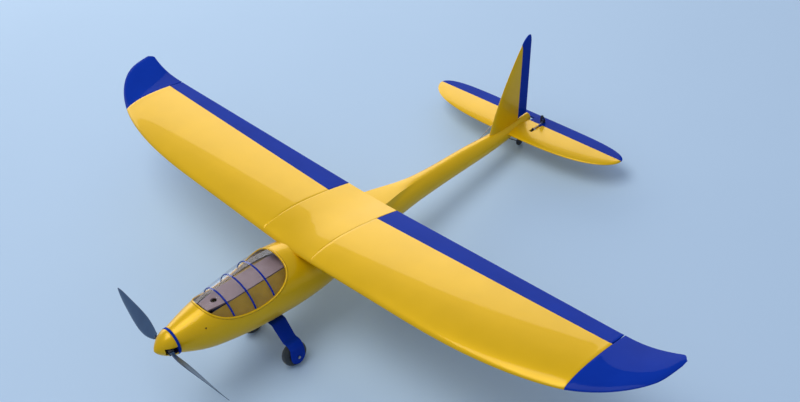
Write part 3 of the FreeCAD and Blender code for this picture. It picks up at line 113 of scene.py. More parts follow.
SKIN = 1.4
POD_END = 150.0
THRUST_Z = -52.0
CANOPY_Y = -278.5
CANOPY_Z = 4.0
CANOPY_HALF = 90.0
CANOPY_DEEP = 52.0
HOOP_Y = -279.5
HOOP_STEP = 40.0
LEDGE_FRONT = -351.0
LEDGE_REAR = -186.0
LEDGE_INNER = 23.6
LEDGE_TOP_Z = -24.5
LEDGE_FOOT_Z = -50.0

PROP_TILT = 7.4
PIVOT_X = 18.5
SPINNER_REAR = 12.6
# distance from the shaft, chord, thickness, twist in degrees, sweep of the mid-chord
BLADE = (
    (27.0, 11.5, 4.0, 42.0, 0.0), (38.0, 19.5, 3.5, 41.0, -0.6), (56.0, 28.0, 2.8, 39.0, -0.8),
    (80.0, 30.0, 2.3, 36.0, -0.4), (108.0, 26.0, 1.9, 31.5, 0.6), (134.0, 19.5, 1.5, 27.5, 2.0),
    (154.0, 11.5, 1.1, 25.0, 3.6), (166.4, 3.0, 0.8, 24.0, 5.2),
)
BLADE_RAKE = 11.0
BLADE_RAKE_POWER = 1.3
BLADE_TIP_START = 158.0
BLADE_CAMBER = 0.03

WHEEL_X = 65.0
WHEEL_Y = -229.0
WHEEL_Z = -183.0
PADDLE_X = 78.1
PADDLE_RAD = 15.5
BELLY_Z = -122.9
GEAR_WIDE = 31.0
GEAR_THICK = 3.0
GEAR_EDGE = 1.1
WELD = 2e-6                              # metres

SKY_STRENGTH = 0.76
WALL_AZIMUTH = 62.0
WALL_POWER = 74.0
TOP_POWER = 60.0


def aircraft_place():
    """Matrix from aircraft axes in millimetres to the row frame in metres."""
    spin = JOINTS["rotor_spin"]
    thrust = Vector(spin["axis"])
    turn = Matrix.Rotation(math.atan2(thrust.z, thrust.y), 4, "X")
    scale = Matrix.Scale(0.001, 4)
    return Matrix.Translation(spin["pos_m"]) @ turn @ scale @ Matrix.Translation(-ROTOR_CENTRE)


PLACE = aircraft_place()


def ease(value, low, high):
    """0 below low, 1 above high, smooth between."""
    part = min(max((value - low) / (high - low), 0.0), 1.0)
    return part * part * (3.0 - 2.0 * part)


def root(value):
    """Square root, 0 where the value falls below 0."""
    return math.sqrt(max(0.0, value))


def spread(first, last, count):
    """count + 1 evenly spaced numbers."""
    return [first + (last - first) * i / count for i in range(count + 1)]


def swing(first, last, count):
    """count + 1 numbers, closer together near both ends."""
    middle = (first + last) / 2
    return [middle - (last - first) / 2 * math.cos(math.pi * i / count) for i in range(count + 1)]


def smooth_curve(pairs):
    """A natural cubic through (position, value) pairs, as a function of position."""
    xs = [float(pair[0]) for pair in pairs]
    ys = [float(pair[1]) for pair in pairs]
    count = len(xs)
    gaps = [xs[i + 1] - xs[i] for i in range(count - 1)]
    upper = [0.0] * count
    right = [0.0] * count
    for i in range(1, count - 1):
        slope_step = (ys[i + 1] - ys[i]) / gaps[i] - (ys[i] - ys[i - 1]) / gaps[i - 1]
        pivot = 2 * (gaps[i - 1] + gaps[i]) - gaps[i - 1] * upper[i - 1]
        upper[i] = gaps[i] / pivot
        right[i] = (6 * slope_step - gaps[i - 1] * right[i - 1]) / pivot
    bends = [0.0] * count
    for i in range(count - 2, 0, -1):
        bends[i] = right[i] - upper[i] * bends[i + 1]

    def value(x):
        x = min(max(x, xs[0]), xs[-1])
        i = max(0, min(count - 2, sum(1 for known in xs[1:-1] if known <= x)))
        a = (xs[i + 1] - x) / gaps[i]
        b = 1.0 - a
        cubic = (a ** 3 - a) * bends[i] + (b ** 3 - b) * bends[i + 1]
        return a * ys[i] + b * ys[i + 1] + cubic * gaps[i] ** 2 / 6

    return value


# ------------------------------------------------------------------ meshes
def lattice(rows, closed=True, first_cap=False, last_cap=False):
    """Points and quads of a sheet through equal rows; closed joins each row's end to its start."""
    width = len(rows[0])
    points = [point for row in rows for point in row]
    faces = []
    for i in range(len(rows) - 1):
        for j in range(width if closed else width - 1):
            k = (j + 1) % width
            faces.append((i * width + j, i * width + k, (i + 1) * width + k, (i + 1) * width + j))
    if first_cap:
        faces.append(tuple(range(width - 1, -1, -1)))
    if last_cap:
        start = (len(rows) - 1) * width
        faces.append(tuple(range(start, start + width)))
    return points, faces


def solid(rows):
    """A closed sheet through the rows, capped at both ends."""
    return lattice(rows, True, True, True)


def merge(*parts):
    """Several (points, faces) pairs as one."""
    points = []
    faces = []
    for more_points, more_faces in parts:
        shift = len(points)
        points += list(more_points)
        faces += [tuple(index + shift for index in face) for face in more_faces]
    return points, faces


def mirrored(shape):
    """A (points, faces) pair on the other side of the aircraft."""
    points, faces = shape
    return [(-p[0], p[1], p[2]) for p in points], faces


def closed_mesh(name, shape, matrix, dissolve=False):
    """A mesh from a (points, faces) pair, welded and with its faces turned outwards."""
    points, faces = shape
    mesh = bpy.data.meshes.new(name)
    mesh.from_pydata([matrix @ Vector(point) for point in points], [], faces)
    build = bmesh.new()
    build.from_mesh(mesh)
    bmesh.ops.remove_doubles(build, verts=build.verts, dist=WELD)
    if dissolve:
        bmesh.ops.dissolve_degenerate(build, edges=build.edges, dist=WELD / 2)
    bmesh.ops.recalc_face_normals(build, faces=build.faces)
    build.to_mesh(mesh)
    build.free()
    return mesh


def smooth(mesh):
    """Smooth shading, broken at the sharp edges."""
    for polygon in mesh.polygons:
        polygon.use_smooth = True
    mesh.set_sharp_from_angle(angle=math.radians(35.0))


def added(name, data):
    """A new object in the scene for this mesh, light or camera."""
    obj = bpy.data.objects.new(name, data)
    bpy.context.scene.collection.objects.link(obj)
    return obj


def piece(name, shape, material, node, place=None):
    """A visible piece that stands for a CAD node, or adds to it, and rides on its body."""
    mesh = closed_mesh(name, shape, PLACE @ place if place else PLACE, True)
    smooth(mesh)
    mesh.materials.append(material)
    obj = added(name, mesh)
    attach(obj, BODY_OF[node])
    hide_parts(node)
    return obj


def paint(obj, material, chosen):
    """Gives the faces whose centre (in aircraft axes) passes the test a second material."""
    back = PLACE.inverted()
    obj.data.materials.append(material)
    index = len(obj.data.materials) - 1
    for polygon in obj.data.polygons:
        if chosen(back @ polygon.center):
            polygon.material_index = index


def apply_modifiers(obj):
    """Fixes the object's modifiers into its mesh."""
    bpy.context.view_layer.update()
    graph = bpy.context.evaluated_depsgraph_get()
    mesh = bpy.data.meshes.new_from_object(obj.evaluated_get(graph))
    obj.modifiers.clear()
    obj.data = mesh


def rounded(obj, width):
    """Bevels the hard edges, so that they catch the light as moulded edges do."""
    bevel = obj.modifiers.new("bevel", "BEVEL")
    bevel.width = width * 0.001
    bevel.segments = 3
    bevel.limit_method = "ANGLE"
    bevel.angle_limit = math.radians(40.0)
    bevel.harden_normals = False


def carve(obj, *cutters):
    """Cuts closed (points, faces) volumes, given in aircraft axes, out of a piece."""
    for shape in cutters:
        tool = added("cutter", closed_mesh("cutter", shape, PLACE))
        cut = obj.modifiers.new("cut", "BOOLEAN")
        cut.operation = "DIFFERENCE"
        cut.solver = "EXACT"
        cut.object = tool
        apply_modifiers(obj)
        bpy.data.objects.remove(tool)
    smooth(obj.data)


def block(low, high):
    """A rectangular volume."""
    xs, ys, zs = zip(low, high)
    ring = [(xs[0], ys[0]), (xs[1], ys[0]), (xs[1], ys[1]), (xs[0], ys[1])]
    return solid([[(x, y, z) for x, y in ring] for z in zs])


def rod(start, end, radius, sides=24):
    """A round bar between two points."""
    start = Vector(start)
    end = Vector(end)
    along = (end - start).normalized()
    across = along.orthogonal().normalized()
    other = along.cross(across)
    rows = []
    for centre in (start, end):
        row = []
        for i in range(sides):
            turn = 2 * math.pi * i / sides
            row.append(centre + across * (radius * math.cos(turn)) + other * (radius * math.sin(turn)))
        rows.append(row)
    return solid(rows)


# ------------------------------------------------------------------ flying surfaces
def half_thickness(s):
    """Half the thickness of a full section at chord fraction s, per unit of thickness."""
    s = min(max(s, 0.0), 1.0)
    return 5 * (0.2969 * math.sqrt(s) - 0.1260 * s - 0.3516 * s ** 2 + 0.2843 * s ** 3 - 0.1036 * s ** 4)


def camber_line(s):
    """Height of the mean line at chord fraction s, per unit of chord."""
    rise = 2 * CAMBER_PEAK * s - s * s
    if s < CAMBER_PEAK:
        return CAMBER / CAMBER_PEAK ** 2 * rise
    return CAMBER / (1 - CAMBER_PEAK) ** 2 * (1 - 2 * CAMBER_PEAK + rise)


def wing_lead(x):
    """Leading edge of the wing at span station x."""
    past = max(0.0, (abs(x) - LEAD_BEND_START) / LEAD_BEND_SPAN)
    return LEAD_Y * root(1.0 - past ** LEAD_BEND_POWER)


def wing_trail(x):
    """Trailing edge of the wing at span station x."""
    out = min(max((abs(x) - PANEL_END) / (WING_END - PANEL_END), 0.0), 1.0)
    straight = TRAIL_Y - TRAIL_TAPER * min(abs(x), PANEL_END)
    return straight - TIP_TRAIL_DIP * math.sin(math.pi * out) + 2.0 * out


def wing_surface(x, y):
    """Middle height and half thickness of the wing at a point of its plan."""
    span = abs(x)
    rise = span if span > BEND_HALF else (x * x / BEND_HALF + BEND_HALF) / 2
    lead = wing_lead(x)
    chord = max(wing_trail(x) - lead, 1.0)
    s = min(max((y - lead) / chord, 0.0), 1.0)
    front = LEAD_Z + LEAD_RISE * rise
    back = TRAIL_Z + TRAIL_RISE * rise
    sweep_up = UPSWEEP * (max(0.0, span - UPSWEEP_START) / (WING_END - UPSWEEP_START)) ** UPSWEEP_POWER
    if span < PANEL_END:
        ratio = ROOT_THICKNESS + (END_THICKNESS - ROOT_THICKNESS) * span / PANEL_END
    else:
        out = (span - PANEL_END) / (WING_END - PANEL_END)
        ratio = END_THICKNESS + (TIP_THICKNESS - END_THICKNESS) * out
    middle = front + (back - front) * s + sweep_up + camber_line(s) * chord
    return middle, half_thickness(s) * ratio * chord + TRAIL_HALF * s


def wing_hinge(x):
    """The aileron hinge at span station x: y, z and half the wing's thickness there."""
    y = HINGE_Y - HINGE_SWEEP * abs(x)
    middle, half = wing_surface(x, y)
    return y, middle, half


def section(front, rear, surface, steps, cove=()):
    """Ring of (y, z) pairs: over the top from rear to front, back along the underside."""
    top = []
    below = []
    for i in range(steps + 1):
        y = front + (rear - front) * (1.0 - math.cos(math.pi / 2 * i / steps))
        middle, half = surface(y)
        top.append((y, middle + half))
        below.append((y, middle - half))
    return top[::-1] + below[1:] + list(cove)


def cove_arc(y, z, radius, steps=7):
    """The hollow that a hinged nose turns in, from its lower lip to its upper lip."""
    arc = []
    for i in range(steps + 1):
        turn = math.radians(-72.0 + 144.0 * i / steps)
        arc.append((y - radius * math.cos(turn), z + radius * math.sin(turn)))
    return arc


def edged(first, last, inner):
    """Span stations with a thinner one at each end, as (station, how much thinner) pairs."""
    step = EDGE_ROUND if last > first else -EDGE_ROUND
    stations = [(first, EDGE_ROUND), (first + 0.3 * step, 0.3 * EDGE_ROUND), (first + step, 0.0)]
    stations += [(x, 0.0) for x in inner]
    return stations + [(last - step, 0.0), (last - 0.3 * step, 0.3 * EDGE_ROUND), (last, EDGE_ROUND)]


def thinned(surface, amount):
    """The same surface with its halves moved together by amount."""
    def value(y):
        middle, half = surface(y)
        return middle, max(half - amount, 0.02)
    return value


def wing_rows(stations, ends):
    """Rings of a wing piece; ends(x, y-shrink) gives front, rear and cove at a station."""
    rows = []
    for x, thin in stations:
        front, rear, limit, cove = ends(x)
        surface = thinned(lambda y, x=x: limit(x, y), thin)
        ring = section(front + thin, rear - thin, surface, 26, cove)
        rows.append([(x, y, z) for y, z in ring])
    return solid(rows)


def centre_ends(x):
    return wing_lead(x), wing_trail(x), wing_surface, ()


def panel_ends(x):
    y, z, half = wing_hinge(x)
    cove = cove_arc(y, z, half + 0.5 * HINGE_GAP)
    return wing_lead(x), y - HINGE_GAP, wing_surface, cove


def aileron_limit(x, y):
    """The wing's own surface, with a round nose ahead of the hinge."""
    hinge_y, hinge_z, nose = wing_hinge(x)
    if y >= hinge_y:
        return wing_surface(x, y)
    return hinge_z, root(nose ** 2 - (y - hinge_y) ** 2)


def aileron_ends(x):
    y, _, nose = wing_hinge(x)
    return y - nose, wing_trail(x), aileron_limit, ()


def wing_tip_shape():
    """The swept, upturned tip, closed by a round end."""
    stations = [(PANEL_END + 0.2, EDGE_ROUND), (PANEL_END + 0.3, 0.1), (PANEL_END + 0.6, 0.0)]
    stations += [(x, 0.0) for x in spread(PANEL_END + 4.0, TIP_ROUND_START, 21)]
    rows = []
    for x, thin in stations:
        surface = thinned(lambda y, x=x: wing_surface(x, y), thin)
        ring = section(wing_lead(x) + thin, wing_trail(x) - thin, surface, 26)
        rows.append([(x, y, z) for y, z in ring])
    for i in range(1, 15):
        part = math.sin(math.pi / 2 * i / 14)
        x = TIP_ROUND_START + (WING_END + 0.6 - TIP_ROUND_START) * part
        full = root(1.0 - ease(x, TIP_ROUND_START + 12.0, WING_END + 0.6) ** 2)
        lead = wing_lead(x)
        trail = wing_trail(x)
        middle = (lead + trail) / 2
        front = middle + (lead - middle) * (0.35 + 0.65 * full)
        rear = middle + (trail - middle) * (0.35 + 0.65 * full)

        def surface(y, x=x, full=full):
            level, half = wing_surface(x, y)
            return level, half * max(full, 0.02)
        rows.append([(x, y, z) for y, z in section(front, rear, surface, 26)])
    return solid(rows)


def tail_half(s, thick):
    """Half thickness of the thin symmetric sections of the tail."""
    return half_thickness(s) * thick + 0.35 * min(max(s, 0.0), 1.0)


def stab_edges(x):
    """Leading and trailing edge of the tailplane at span station x."""
    part = min(abs(x) / STAB_HALF, 1.0)
    lead = STAB_HINGE_Y - STAB_FORE * root(1.0 - part ** 3)
    trail = STAB_HINGE_Y + STAB_AFT * root(1.0 - part ** 6)
    return lead, trail


def stab_surface(x, y):
    """Middle height and half thickness of the tailplane."""
    lead, trail = stab_edges(x)
    part = min(abs(x) / STAB_HALF, 1.0)
    thick = STAB_THICK * (1.0 - 0.55 * part ** 3)
    if part > 0.985:
        thick *= math.sqrt(max(0.02, 1.0 - ((part - 0.985) / 0.0155) ** 2))
    return STAB_Z, tail_half((y - lead) / max(trail - lead, 1.0), thick)


def stab_nose(x):
    """Radius of the elevator's round nose, never thicker than the tailplane itself."""
    return min(STAB_NOSE, stab_surface(x, STAB_HINGE_Y)[1] + 0.8)


def stab_ends(x):
    lead, _ = stab_edges(x)
    cove = cove_arc(STAB_HINGE_Y, STAB_Z, stab_nose(x) + 0.6)
    cut = STAB_HINGE_Y - 0.55 * stab_nose(x) - 0.6
    high = stab_surface(x, cut)[1] - 0.1
    cove = [(min(y, cut), min(max(z, STAB_Z - high), STAB_Z + high)) for y, z in cove]
    return lead, cut, stab_surface, cove


def elevator_limit(x, y):
    """The tailplane's surface with a round nose ahead of the hinge."""
    half = stab_surface(x, y)[1]
    if y < STAB_HINGE_Y:
        nose = stab_nose(x)
        half = min(half, root(nose ** 2 - (y - STAB_HINGE_Y) ** 2))
    return STAB_Z, half


def elevator_ends(x):
    _, trail = stab_edges(x)
    front = STAB_HINGE_Y - stab_nose(x)
    if abs(x) < NOTCH_HALF:
        front = NOTCH_Y
    return front, trail, elevator_limit, ()


def fin_lead(z):
    """Leading edge of fin and rudder: nearly straight, slightly convex, swept at the top."""
    top_y = rudder_hinge_y(FIN_TOP_Z) - 1.0
    part = (z - FIN_FOOT_Z) / (FIN_TOP_Z - FIN_FOOT_Z)
    if part <= 1.0:
        return FIN_FOOT_Y + (top_y - FIN_FOOT_Y) * part - 4 * FIN_BULGE * part * (1.0 - part)
    over = (z - FIN_TOP_Z) / (RUDDER_TOP_Z - FIN_TOP_Z)
    return top_y + 17.0 * over ** 1.5 + 2.0 * over


def rudder_hinge_y(z):
    """The rudder's hinge line leans back as it rises."""
    return RUDDER_FOOT_Y + RUDDER_LEAN * (z - RUDDER_FOOT_Z)


def fin_trail(z):
    """Trailing edge of the rudder."""
    return rudder_hinge_y(min(z, FIN_TOP_Z)) + RUDDER_CHORD


def fin_half(z, y):
    """Half thickness of fin and rudder."""
    lead = fin_lead(z)
    part = (z - FIN_FOOT_Z) / (RUDDER_TOP_Z - FIN_FOOT_Z)
    thick = FIN_THICK * (1.0 - 0.55 * part)
    return tail_half((y - lead) / (fin_trail(z) - lead), thick)


def rudder_nose(z):
    """Radius of the rudder's round nose, smaller towards the top."""
    part = (z - RUDDER_FOOT_Z) / (FIN_TOP_Z - RUDDER_FOOT_Z)
    return 3.2 - 1.3 * min(max(part, 0.0), 1.0)


def fin_shape():
    """The fixed fin, with its foot in the boom and a hollow for the rudder's nose."""
    rows = []
    levels = [-47.0, -40.0] + spread(-30.0, FIN_TOP_Z - 0.4, 26)
    for z, thin in [(z, 0.0) for z in levels] + [(FIN_TOP_Z, 0.35)]:
        hinge = rudder_hinge_y(z)
        cut = hinge - 0.55 * rudder_nose(z) - 0.6
        high = fin_half(z, cut) - 0.1
        arc = cove_arc(hinge, 0.0, rudder_nose(z) + 0.5)
        cove = [(min(y, cut), min(max(x, -high), high)) for y, x in arc]

        def surface(y, z=z, thin=thin):
            return 0.0, max(fin_half(z, y) - thin, 0.02)
        ring = section(fin_lead(z) + thin, cut, surface, 20, cove)
        rows.append([(x, y, z) for y, x in ring])
    return solid(rows)


def rudder_shape():
    """The rudder: a round nose on the hinge line, and the whole tip above the fin."""
    rows = []
    levels = [(RUDDER_FOOT_Z, 0.4), (RUDDER_FOOT_Z + 0.4, 0.0)]
    levels += [(z, 0.0) for z in spread(-33.0, FIN_TOP_Z + 0.5, 26)]
    for z, thin in levels:
        hinge = rudder_hinge_y(z)

        def surface(y, z=z, hinge=hinge, thin=thin):
            half = fin_half(z, y)
            if y < hinge:
                half = min(half, root(rudder_nose(z) ** 2 - (y - hinge) ** 2))
            return 0.0, max(half - thin, 0.0)
        ring = section(hinge - rudder_nose(z), fin_trail(z), surface, 20)
        rows.append([(x, y, z) for y, x in ring])
    for i in range(15):
        part = math.sin(math.pi / 2 * i / 14)
        z = FIN_TOP_Z + 0.5 + (RUDDER_TOP_Z - FIN_TOP_Z - 0.5) * part
        full = root(1.0 - part ** 6)

        def surface(y, z=z, full=full):
            return 0.0, fin_half(z, y) * max(full, 0.02)
        ring = section(fin_lead(z), fin_trail(z) - 4.0 * part ** 4, surface, 20)
        rows.append([(x, y, z) for y, x in ring])
    return solid(rows)


# ------------------------------------------------------------------ fuselage
# Each station: y, half width, top z, bottom z, shoulder x, and how flat the deck is (0 to 1).
HULL = (
    (-420.4, 25.2, -26.8, -77.2, 17.8, 0.0), (-380.0, 39.8, -16.8, -96.0, 28.1, 0.0),
    (-330.0, 50.6, -7.6, -108.8, 35.8, 0.0), (-280.0, 57.4, -1.6, -116.2, 40.6, 0.0),
    (-230.0, 61.8, 3.0, -119.3, 43.7, 0.0), (-180.0, 63.4, 0.6, -120.8, 44.8, 0.0),
    (-130.0, 61.5, -6.5, -118.5, 43.5, 0.0), (-60.0, 54.0, -9.0, -110.0, 40.0, 0.3),
    (0.0, 45.0, -14.0, -97.0, 36.0, 0.8), (53.0, 37.8, -17.5, -87.5, 31.0, 1.0),
    (100.0, 31.6, -22.0, -82.5, 20.0, 1.0), (150.0, 26.6, -27.2, -79.2, 12.0, 0.6),
    (210.0, 22.8, -32.0, -77.6, 8.0, 0.2), (300.0, 20.6, -34.6, -76.4, 6.5, 0.0),
    (380.0, 17.2, -39.2, -75.2, 5.5, 0.0), (450.0, 12.4, -41.6, -69.8, 4.0, 0.0),
    (501.0, 8.0, -41.0, -62.0, 2.8, 0.0),
)
NOSE_Y = HULL[0][0]
TAIL_Y = HULL[-1][0]
DECK_CROWN = 0.8
HULL_HALF, HULL_TOP, HULL_BOTTOM, HULL_SHOULDER, HULL_FLAT = [
    smooth_curve([(station[0], station[i]) for station in HULL]) for i in range(1, 6)]


def hull_oval(y):
    """Half width, middle height and half height of the fuselage's oval at y."""
    top = HULL_TOP(y)
    bottom = HULL_BOTTOM(y)
    return HULL_HALF(y), (top + bottom) / 2, (top - bottom) / 2


def hull_ring(y, inset=0.0, deck_steps=12, side_steps=48):
    """One cross-section: the deck from left to right shoulder, then round below."""
    half, middle, tall = hull_oval(y)
    half -= inset
    tall -= inset
    top = middle + tall
    shoulder = min(HULL_SHOULDER(y), 0.95 * half)
    flat = 0.0 if inset else min(max(HULL_FLAT(y), 0.0), 1.0)
    ring = []
    for i in range(deck_steps + 1):
        part = 1.0 - 2.0 * i / deck_steps
        x = shoulder * part
        arc = middle + tall * math.sqrt(1.0 - (x / half) ** 2)
        ring.append((x, y, arc + (top - DECK_CROWN * part * part - arc) * flat))
    start = math.asin(shoulder / half)
    for i in range(1, side_steps):
        turn = start + (2 * math.pi - 2 * start) * i / side_steps
        ring.append((-half * math.sin(turn), y, middle + tall * math.cos(turn)))
    return ring


def hull_shape():
    """The outside of the fuselage as a closed volume, its nose and tail edges rounded."""
    rows = [hull_ring(NOSE_Y, 0.7), hull_ring(NOSE_Y + 0.25, 0.2)]
    rows += [hull_ring(y) for y in spread(NOSE_Y + 0.9, -60.0, 90)]
    rows += [hull_ring(y) for y in spread(-55.0, TAIL_Y - 1.0, 110)]
    rows.append(hull_ring(TAIL_Y, 0.8))
    return solid(rows)


def pod_hollow():
    """The space inside the front of the fuselage."""
    return solid([hull_ring(y, SKIN) for y in spread(NOSE_Y + SKIN, POD_END, 60)])


def opening_height(y, inset):
    """Height of the canopy opening's edge at y, inset along the skin; None outside it."""
    part = (y - CANOPY_Y) / (CANOPY_HALF - inset)
    if abs(part) >= 1.0:
        return None
    return CANOPY_Z - (CANOPY_DEEP - inset) * math.sqrt(1.0 - part * part)


def opening_angle(y, inset):
    """Angle from the top of the oval down to the opening's edge at y, 0 where it closes."""
    _, middle, tall = hull_oval(y)
    height = opening_height(y, inset)
    if height is None or height >= middle + tall:
        return 0.0
    return math.acos((height - middle) / tall)


def opening_end(inset, sign):
    """Where the opening's edge crosses the centre line, in front (-1) or behind (+1)."""
    inner = CANOPY_Y
    outer = CANOPY_Y + sign * (CANOPY_HALF - inset)
    for _ in range(50):
        middle = (inner + outer) / 2
        if opening_angle(middle, inset) > 0.0:
            inner = middle
        else:
            outer = middle
    return inner


def skin_point(y, angle, depth):
    """Point on the oval at an angle from its top, sunk below the surface by depth."""
    half, middle, tall = hull_oval(y)
    return ((half - depth) * math.sin(angle), y, middle + (tall - depth) * math.cos(angle))


def rim_line(inset, depth, steps=180):
    """Closed line round the canopy opening."""
    front = opening_end(inset, -1)
    rear = opening_end(inset, 1)
    line = []
    for i in range(steps):
        turn = 2 * math.pi * i / steps
        y = (front + rear) / 2 - (rear - front) / 2 * math.cos(turn)
        side = 1.0 if turn < math.pi else -1.0
        line.append(skin_point(y, side * opening_angle(y, inset), depth))
    return line


def canopy_frame_shape():
    """The moulded rim of the canopy, slightly crowned and standing a hair proud."""
    profile = [(0.5, 0.9), (0.5, 0.1), (0.8, -0.35), (1.4, -0.75), (2.2, -0.9), (3.0, -0.7), (3.5, -0.3)]
    profile += [(3.7, 0.1), (3.7, 1.0), (4.4, 1.05), (4.4, 1.7), (1.2, 1.7), (1.2, 1.0)]
    lines = [rim_line(inset, depth) for inset, depth in profile]
    rows = [[line[i] for line in lines] for i in range(len(lines[0]))]
    rows.append(rows[0])
    return lattice(rows, True)


def canopy_glass_shape():
    """The clear bubble inside the rim, one thin closed sheet."""
    rows = []
    inset = 3.75
    for y in swing(opening_end(inset, -1), opening_end(inset, 1), 60):
        limit = opening_angle(y, inset)
        outer = [skin_point(y, angle, 0.0) for angle in spread(-limit, limit, 36)]
        inner = [skin_point(y, angle, 0.9) for angle in spread(limit, -limit, 36)]
        rows.append(outer + inner)
    return lattice(rows, True)


def hoop_shape(y):
    """One hoop under the glass: a flat band with rounded edges."""
    rows = []
    limit = opening_angle(y, 4.9)
    outline = [(-1.5, 1.75), (-1.2, 1.3), (-0.5, 1.1), (0.5, 1.1), (1.2, 1.3), (1.5, 1.75)]
    outline += [(1.5, 2.7), (-1.5, 2.7)]
    for angle in spread(-limit, limit, 48):
        rows.append([skin_point(y + along, angle, depth) for along, depth in outline])
    return solid(rows)


def cockpit_wall_shape(side):
    """A thin sheet sloping from the edge of the equipment tray out to the pod's inner wall."""
    rows = []
    for y in spread(LEDGE_FRONT, LEDGE_REAR, 40):
        half, middle, tall = hull_oval(y)
        reach = math.sqrt(1.0 - ((LEDGE_FOOT_Z - middle) / tall) ** 2)
        foot = (half - SKIN) * reach - 0.3
        ring = [(LEDGE_INNER, LEDGE_TOP_Z), (foot, LEDGE_FOOT_Z), (foot - 1.0, LEDGE_FOOT_Z - 1.0)]
        ring.append((LEDGE_INNER, LEDGE_TOP_Z - 1.2))
        rows.append([(side * x, y, z) for x, z in ring])
    return solid(rows)


def opening_volume():
    """The upright oval prism that cuts the canopy opening."""
    rows = []
    for x in (-100.0, 100.0):
        row = []
        for i in range(128):
            turn = 2 * math.pi * i / 128
            y = CANOPY_Y + CANOPY_HALF * math.cos(turn)
            row.append((x, y, CANOPY_Z + CANOPY_DEEP * math.sin(turn)))
        rows.append(row)
    return solid(rows)


def saddle_volume():
    """The space that the middle of the wing takes out of the top of the fuselage."""
    rows = []
    for x in spread(-SADDLE_HALF, SADDLE_HALF, 8):
        def surface(y, x=x):
            middle, half = wing_surface(x, y)
            return middle, half + SADDLE_GAP
        front = wing_lead(x) - SADDLE_GAP
        ring = section(front, wing_trail(x) + SADDLE_GAP, surface, 30)
        top_count = 31
        upper = ring[:top_count]
        lower = ring[top_count:]
        raised = [(y, z if y < LEAD_Y + 26.0 else 60.0) for y, z in upper]
        rows.append([(x, y, z) for y, z in raised + lower])
    return solid(rows)


# ------------------------------------------------------------------ propeller and gear
def lathe(profile, sides=96, centre=(0.0, 0.0, 0.0), axis="Y"):
    """A closed profile of (radius, along) pairs turned about the X or Y axis through centre."""
    rows = []
    for i in range(sides + 1):
        turn = 2 * math.pi * i / sides
        row = []
        for radius, along in profile:
            across = radius * math.cos(turn)
            up = radius * math.sin(turn)
            if axis == "Y":
                row.append((centre[0] + across, centre[1] + along, centre[2] + up))
            else:
                row.append((centre[0] + along, centre[1] + across, centre[2] + up))
        rows.append(row)
    return lattice(rows, True)


def spinner_profile(radius, length, rear, steps):
    """Outline of the spinner from its rear edge to its tip."""
    outline = []
    for i in range(steps + 1):
        part = math.sin(math.pi / 2 * i / steps)
        outline.append((radius * (1.0 - part ** 1.5) ** 0.7, rear - length * part))
    return outline


def spinner_shape():
    """The hollow spinner, before its two notches are cut."""
    outer = spinner_profile(25.4, 33.4, SPINNER_REAR, 28)
    inner = spinner_profile(24.2, 31.6, SPINNER_REAR, 20)
    return lathe([(25.1, SPINNER_REAR + 0.01)] + outer[1:] + inner[::-1], 128)


def blade_section(reach, chord, thick, twist, sweep, steps=14):
    """Ring of points of one blade section: rounded nose, flat-bottomed and slightly cambered."""
    angle = math.radians(twist)
    along = Vector((0.0, math.sin(angle), -math.cos(angle)))
    across = Vector((0.0, math.cos(angle), math.sin(angle)))
    outward = (reach - BLADE[0][0]) / (BLADE[-1][0] - BLADE[0][0])
    rake = BLADE_RAKE * max(outward, 0.0) ** BLADE_RAKE_POWER
    start = Vector((reach, rake, 0.0)) + along * (sweep - chord / 2)
    ring = []
    for side in (1, -1):
        for i in range(steps + 1):
            part = i / steps if side < 0 else 1.0 - i / steps
            s = 1.0 - math.cos(math.pi / 2 * part)
            half = tail_half(s, thick)
            rise = BLADE_CAMBER * chord * 4 * s * (1.0 - s)
            point = start + along * (chord * s) + across * (side * half - rise)
            if side > 0 or 0 < i:
                ring.append(tuple(point))
    return ring


def blade_shape():
    """The twisted blade of the propeller."""
    curves = [smooth_curve([(station[0], station[i]) for station in BLADE]) for i in range(1, 5)]
    rows = []
    reaches = spread(BLADE[0][0], BLADE_TIP_START, 44)
    tip = BLADE[-1][0]
    reaches += [BLADE_TIP_START + (tip - BLADE_TIP_START) * math.sin(math.pi / 2 * i / 10) for i in range(1, 11)]
    for reach in reaches:
        chord, thick, twist, sweep = [curve(reach) for curve in curves]
        if reach > BLADE_TIP_START:
            full = root(1.0 - ((reach - BLADE_TIP_START) / (tip - BLADE_TIP_START)) ** 2)
            chord = max(chord * (0.25 + 0.75 * full), 1.2)
        rows.append(blade_section(reach, chord, thick, twist, sweep))
    return solid(rows)


def blade_root():
    """The tab that turns on the pin and blends into the blade."""
    rows = []
    for reach in spread(PIVOT_X, 33.0, 12):
        part = ease(reach, PIVOT_X + 6.0, 32.0)
        angle = math.radians(BLADE[0][3] * part)
        width = 3.6 + 2.2 * part
        height = 2.1 - 0.5 * part
        ring = []
        for i in range(16):
            turn = 2 * math.pi * i / 16
            wide = math.copysign(abs(math.cos(turn)) ** 0.5, math.cos(turn)) * width
            tall = math.copysign(abs(math.sin(turn)) ** 0.5, math.sin(turn)) * height
            y = wide * math.cos(angle) * (1.0 - part) + wide * math.sin(angle) * part
            z = tall * (1.0 - part) - part * (wide * math.cos(angle) - 0.4 * tall * math.sin(angle))
            ring.append((reach, y + 0.6 * part * tall, z))
        rows.append(ring)
    return solid(rows)


